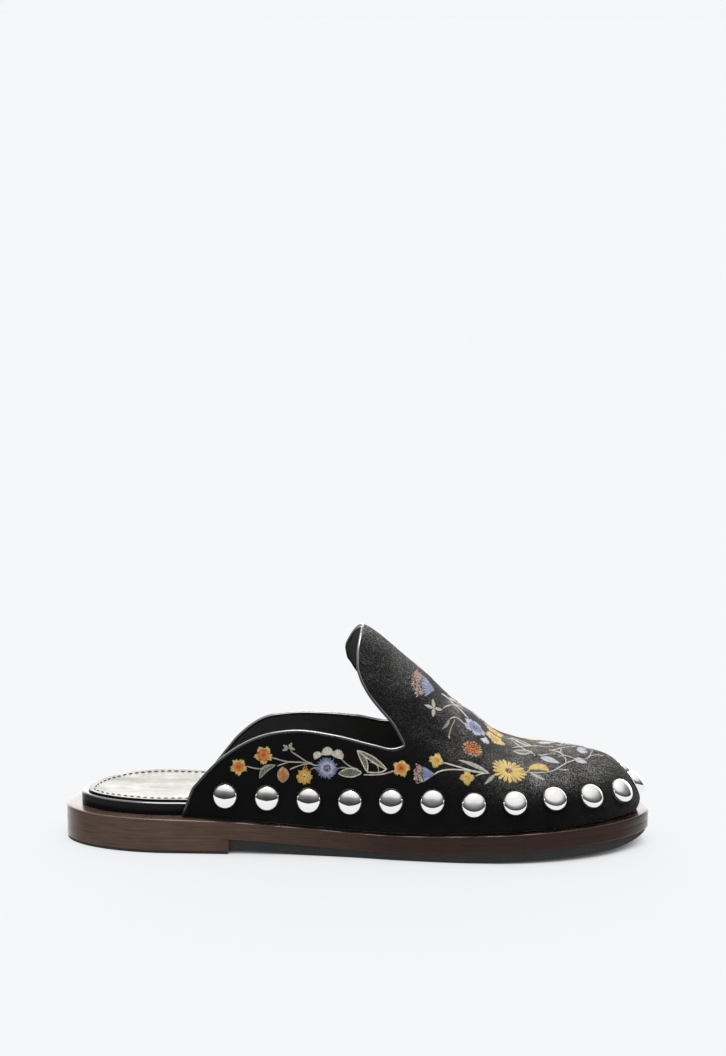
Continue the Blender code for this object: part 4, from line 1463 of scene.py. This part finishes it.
# bands of the blossoms, each (from, to, colour) in shares of the radius
blossomBands = {
    "marigold": [(0.52, 1.0, "yellow"), (0.2, 0.72, "orange"), (0.0, 0.35, "deepOrange")],
    "marigoldPaleRim": [(0.66, 1.0, "yellow"), (0.15, 0.84, "orange"), (0.0, 0.3, "deepOrange")],
    "marigoldSmall": [(0.5, 1.0, "yellow"), (0.2, 0.7, "orange"), (0.0, 0.32, "deepOrange")],
    "buttercup": [(0.35, 1.0, "yellow"), (0.0, 0.45, "gold")],
    "goldRim": [(0.5, 1.0, "gold"), (0.1, 0.62, "yellow")],
    "cornflower": [(0.5, 1.0, "cornflower"), (0.3, 0.75, "lilac"), (0.12, 0.4, "dusk")],
    "lavender": [(0.5, 1.0, "lilac"), (0.2, 0.72, "cornflower"), (0.0, 0.3, "dusk")],
    "lavenderPetal": [(0.05, 0.8, "white"), (0.6, 1.0, "lilac")],
    "puff": [(0.05, 1.0, "cream")],
    "primrose": [(0.4, 1.0, "yellow"), (0.0, 0.5, "gold")],
}


# the sprigs up the side wall and over the toe
def sewWallSprigs(threads, side):
    chart = chartPen(side)

    def at(*spot, **stretch):
        return motifPen(side, *spot, **stretch)

    for colour, width, spots in wallStems:
        fine = stitchLook["fineness"] if spots[0][0] > stitchLook["fineFromX"] else 1.0
        sewStem(threads, chart, spots, colour, width * fine)
    for spot, radius, petals, kind, notch in (
            ((79, 40, 90), 3.7, 5, "marigold", 0.36), ((90, 45.5, 90), 4.0, 5, "marigoldPaleRim", 0.38),
            ((150.5, 40.5, 40), 3.7, 5, "marigoldSmall", 0.34), ((166, 44, 30), 3.3, 4, "buttercup", 0.4),
            ((179.5, 36.5, 45), 3.2, 4, "buttercup", 0.4), ((108, 36, 20), 3.6, 8, "goldRim", 0.28)):
        sewBlossom(threads, at(*spot), radius, petals, blossomBands[kind], notch)
    sewKnots(threads, at(108.4, 40), 1.3, 8, ["orange", "peach"])
    sewStar(threads, at(101, 48.7), [(60, 2.9), (150, 2.9), (200, 2.9), (350, 2.9)], 1.5, ["cream", "sage"],
            "olive")
    sewLeaf(threads, chart, (98.6, 40.3), (98.4, 33.2), 5.0, ["orange", "orange", "peach"], rim="olive",
            bow=0.02, slant=0.2)
    sewLeaf(threads, chart, (95.2, 41), (88.3, 35), 2.6, ["moss", "moss", "sage"], rim="sage", bow=-0.18)
    sewBlossom(threads, at(118, 40), 4.6, 24, blossomBands["cornflower"], 0.1, rough=0.14)
    sewKnots(threads, at(118, 39.7), 0.9, 6, ["night", "white"])
    for spot, size in (((114.3, 44.7, 125), 2.9), ((118.2, 45.9, 95), 3.6), ((122.2, 44.7, 70), 3.8)):
        sewBlossom(threads, at(*spot), size, 1, blossomBands["puff"], 0.2, 0.85, -85, 170, 0.04, spacing=0.24)
    for foot, tip, width, fill, bow in (
            ((123, 37.7), (133.2, 38.2), 4.0, ["moss", "moss", "sage"], 0.02),
            ((131.2, 48.2), (144.2, 39.8), 2.0, ["sage", "moss"], 0.03),
            ((131.3, 48), (135.6, 38.6), 2.4, ["moss", "moss", "sage"], 0.08)):
        sewLeaf(threads, chart, foot, tip, width, fill, rim="cream", bow=bow)
    sewStem(threads, chart, [(135.6, 38.6), (139, 38.3), (142, 38.7), (144.2, 39.9)], "cream")
    sewStem(threads, chart, [(136.8, 43.2), (139, 42.3), (140.6, 40.8), (140.5, 38.6)], "sage", 0.8)
    sewThistle(threads, at(165.2, 38), 5.9, 37, 0.8, ["peach", "rose", "white", "peach", "cream"])
    sewLeaf(threads, chart, (189.5, 38.2), (175.8, 44.2), 1.9, ["white", "sage"], vein="cream", bow=-0.04)
    for foot, tip in (((192, 38), (187.2, 33.8)), ((207, 38.5), (214, 35.2))):
        sewLeaf(threads, chart, foot, tip, 1.9, ["white", "moss"], vein="cream")
    sewDaisy(threads, at(198, 39.2, long=1.07, high=0.88), 7.6, 19, "yellow", "yellow")
    sewKnots(threads, at(198, 39.2), 1.9, 16, ["peach", "orange", "rose"])
    sewDaisy(threads, at(211.8, 39.6), 4.6, 9, "yellow", "gold", 0.05, 2.0, -12, 200)
    for foot, tip, width in (
            ((212.5, 44.1), (221.2, 42), 2.3), ((227.3, 43.6), (233.6, 42), 2.3),
            ((229.3, 47), (234.6, 46), 2.2)):
        sewLeaf(threads, chart, foot, tip, width, ["lilac", "white"], bow=0.03, slant=0.9)
    sewLeaf(threads, chart, (200.8, 47), (209.4, 46.3), 1.5, ["moss", "sage"], rim="cream", bow=-0.06)
    sewKnots(threads, at(219, 45.5), 1.1, 5, ["cream", "sage"])


# the sprigs up the tongue
def sewTongueSprigs(threads, side):
    chart = chartPen(side)

    def at(*spot):
        return motifPen(side, *spot)

    for colour, width, spots in tongueStems:
        sewStem(threads, chart, spots, colour, width)
    sewThistle(threads, at(165.3, 74.3, 3), 8.0, 52, 0.75, ["peach", "rose", "white", "peach", "white"])
    sewStar(threads, at(165, 66.6), [(95, 5.0), (175, 4.6), (10, 4.6), (265, 4.6)], 2.0, ["cream", "olive"],
            "white")
    sewLeaf(threads, chart, (172, 61.8), (168.5, 57.6), 1.6, ["olive", "sage"], bow=0.1)
    sewKnots(threads, chartOffset(chart, 171.6, 54), 0.5, 3, ["rose", "cream"])
    sewBlossom(threads, at(183.6, 57.6, 30), 5.8, 5, blossomBands["lavender"], 0.35)
    sewKnots(threads, at(183.9, 57.2), 0.9, 6, ["night", "white"])
    sewBlossom(threads, at(187.2, 52.9, -40), 3.3, 1, blossomBands["lavenderPetal"], 0.2, 0.9, -100, 200,
               0.08, spacing=0.26)
    sewBlossom(threads, at(192.6, 52.2, 20), 5.4, 5, blossomBands["primrose"], 0.35)
    sewTuft(threads, at(182, 49), 4.4, 210, ["orange", "gold", "peach", "orange", "cream"])


def threadPiece(name, threads):
    piece = addPiece(name, np.vstack(threads["points"]), threads["faces"], thread, sharp=75)
    mesh = piece.data
    colour = mesh.color_attributes.new("threadColour", "FLOAT_COLOR", "POINT")
    colour.data.foreach_set("color", np.array(threads["colours"], np.float32).ravel())
    layer = mesh.uv_layers.new(name="stitch")
    layer.data.foreach_set("uv", np.array(threads["uvs"], np.float32).ravel())
    return piece


def makeEmbroidery():
    for side, label in ((inner, "inner"), (outer, "outer")):
        for part, sewPart in (("wall", sewWallSprigs), ("tongue", sewTongueSprigs)):
            threads = newThreads()
            sewPart(threads, side)
            threadPiece(f"embroidery_{part}_{label}", threads)
            print(f"{part} sprigs sewn on the {label} side: {threads['count']} stitches")


makeEmbroidery()


stageLook = {
    "floor": (0.19, 0.19, 0.192, 1), "floorGlow": (0.664, 0.670, 0.685, 1), "floorSize": 60.0,
    "roughness": 0.9, "shadowRays": 8,
    "shadowReach": 0.05,                     # metres within which the shoe dims the floor's glow
    "shadow": (0.0, 1.0, 0.04, 0.46),        # share of the glow, by how much open sky the floor sees there
    "cameraAt": (-0.0006, -1.2054, 0.3786), "cameraDrop": 11.14, "cameraRoll": -0.487,
    "lens": 94.26, "sensor": 36.0,
    "background": (0.913, 0.921, 0.939, 1),
    # light by height, from the level of the floor to straight up: all round, and straight behind the shoe
    "around": [(0.0, 0.03), (0.18, 0.07), (0.36, 0.17), (0.50, 0.30), (0.66, 0.78),
               (0.85, 0.95), (0.96, 0.95), (0.975, 9.0), (1.0, 9.0)],
    "behind": [(0.0, 2.7), (0.3, 2.5), (0.6, 1.1), (0.96, 1.0), (0.975, 9.0), (1.0, 9.0)],
    "behindFrom": 0.35, "behindFull": 0.75, "coolness": 1.01,
}


def makeFloor():
    look = stageLook
    half = look["floorSize"] / 2
    corners = [(-half, -half, 0), (half, -half, 0), (half, half, 0), (-half, half, 0)]
    mesh = bpy.data.meshes.new("floor")
    mesh.from_pydata(corners, [], [(0, 1, 2, 3)])
    material, tree, shader = newMaterial(
        "pale_floor", Base_Color=look["floor"], Roughness=look["roughness"], Specular_IOR_Level=0.0,
        Emission_Color=look["floorGlow"])
    sky = addNode(tree, "ShaderNodeAmbientOcclusion", {"samples": look["shadowRays"]},
                  Distance=look["shadowReach"])
    plug(tree, ramp(tree, sky.outputs["AO"], *look["shadow"]), shader["Emission Strength"])
    mesh.materials.append(material)
    newObject("floor", mesh)


def makeCamera():
    look = stageLook
    camera = newObject("camera", bpy.data.cameras.new("camera"))
    camera.data.sensor_fit = "VERTICAL"
    camera.data.sensor_height = look["sensor"]
    camera.data.lens = look["lens"]
    camera.location = look["cameraAt"]
    camera.rotation_euler = (math.radians(90 - look["cameraDrop"]), math.radians(look["cameraRoll"]), 0)
    bpy.context.scene.camera = camera
    bpy.context.scene.view_settings.view_transform = "Standard"


# light level by height, as a shader's colour
def lightByHeight(tree, height, steps):
    curve = addNode(tree, "ShaderNodeValToRGB", Fac=height)
    stops = curve.color_ramp.elements
    while len(stops) < len(steps):
        stops.new(0.5)
    for stop, (position, level) in zip(stops, steps):
        stop.position = position
        stop.color = (level, level, level * stageLook["coolness"], 1)
    return curve.outputs["Color"]


# studio dome: a bright ceiling, dim sides and a bright back wall; what is seen directly is plain
def makeStudio():
    look = stageLook
    world = bpy.data.worlds.new("studio")
    bpy.context.scene.world = world
    world.use_nodes = True
    tree = world.node_tree
    direction = addNode(tree, "ShaderNodeTexCoord").outputs["Generated"]
    way = addNode(tree, "ShaderNodeSeparateXYZ", Vector=direction).outputs
    around = lightByHeight(tree, way["Z"], look["around"])
    behind = lightByHeight(tree, way["Z"], look["behind"])
    back = ramp(tree, way["Y"], 0.0, 1.0, look["behindFrom"], look["behindFull"])
    light = mixColour(tree, back, around, behind)
    seen = addNode(tree, "ShaderNodeLightPath").outputs["Is Camera Ray"]
    plug(tree, mixColour(tree, seen, light, look["background"]), tree.nodes["Background"].inputs["Color"])


makeFloor()
makeCamera()
makeStudio()
print("stage made")
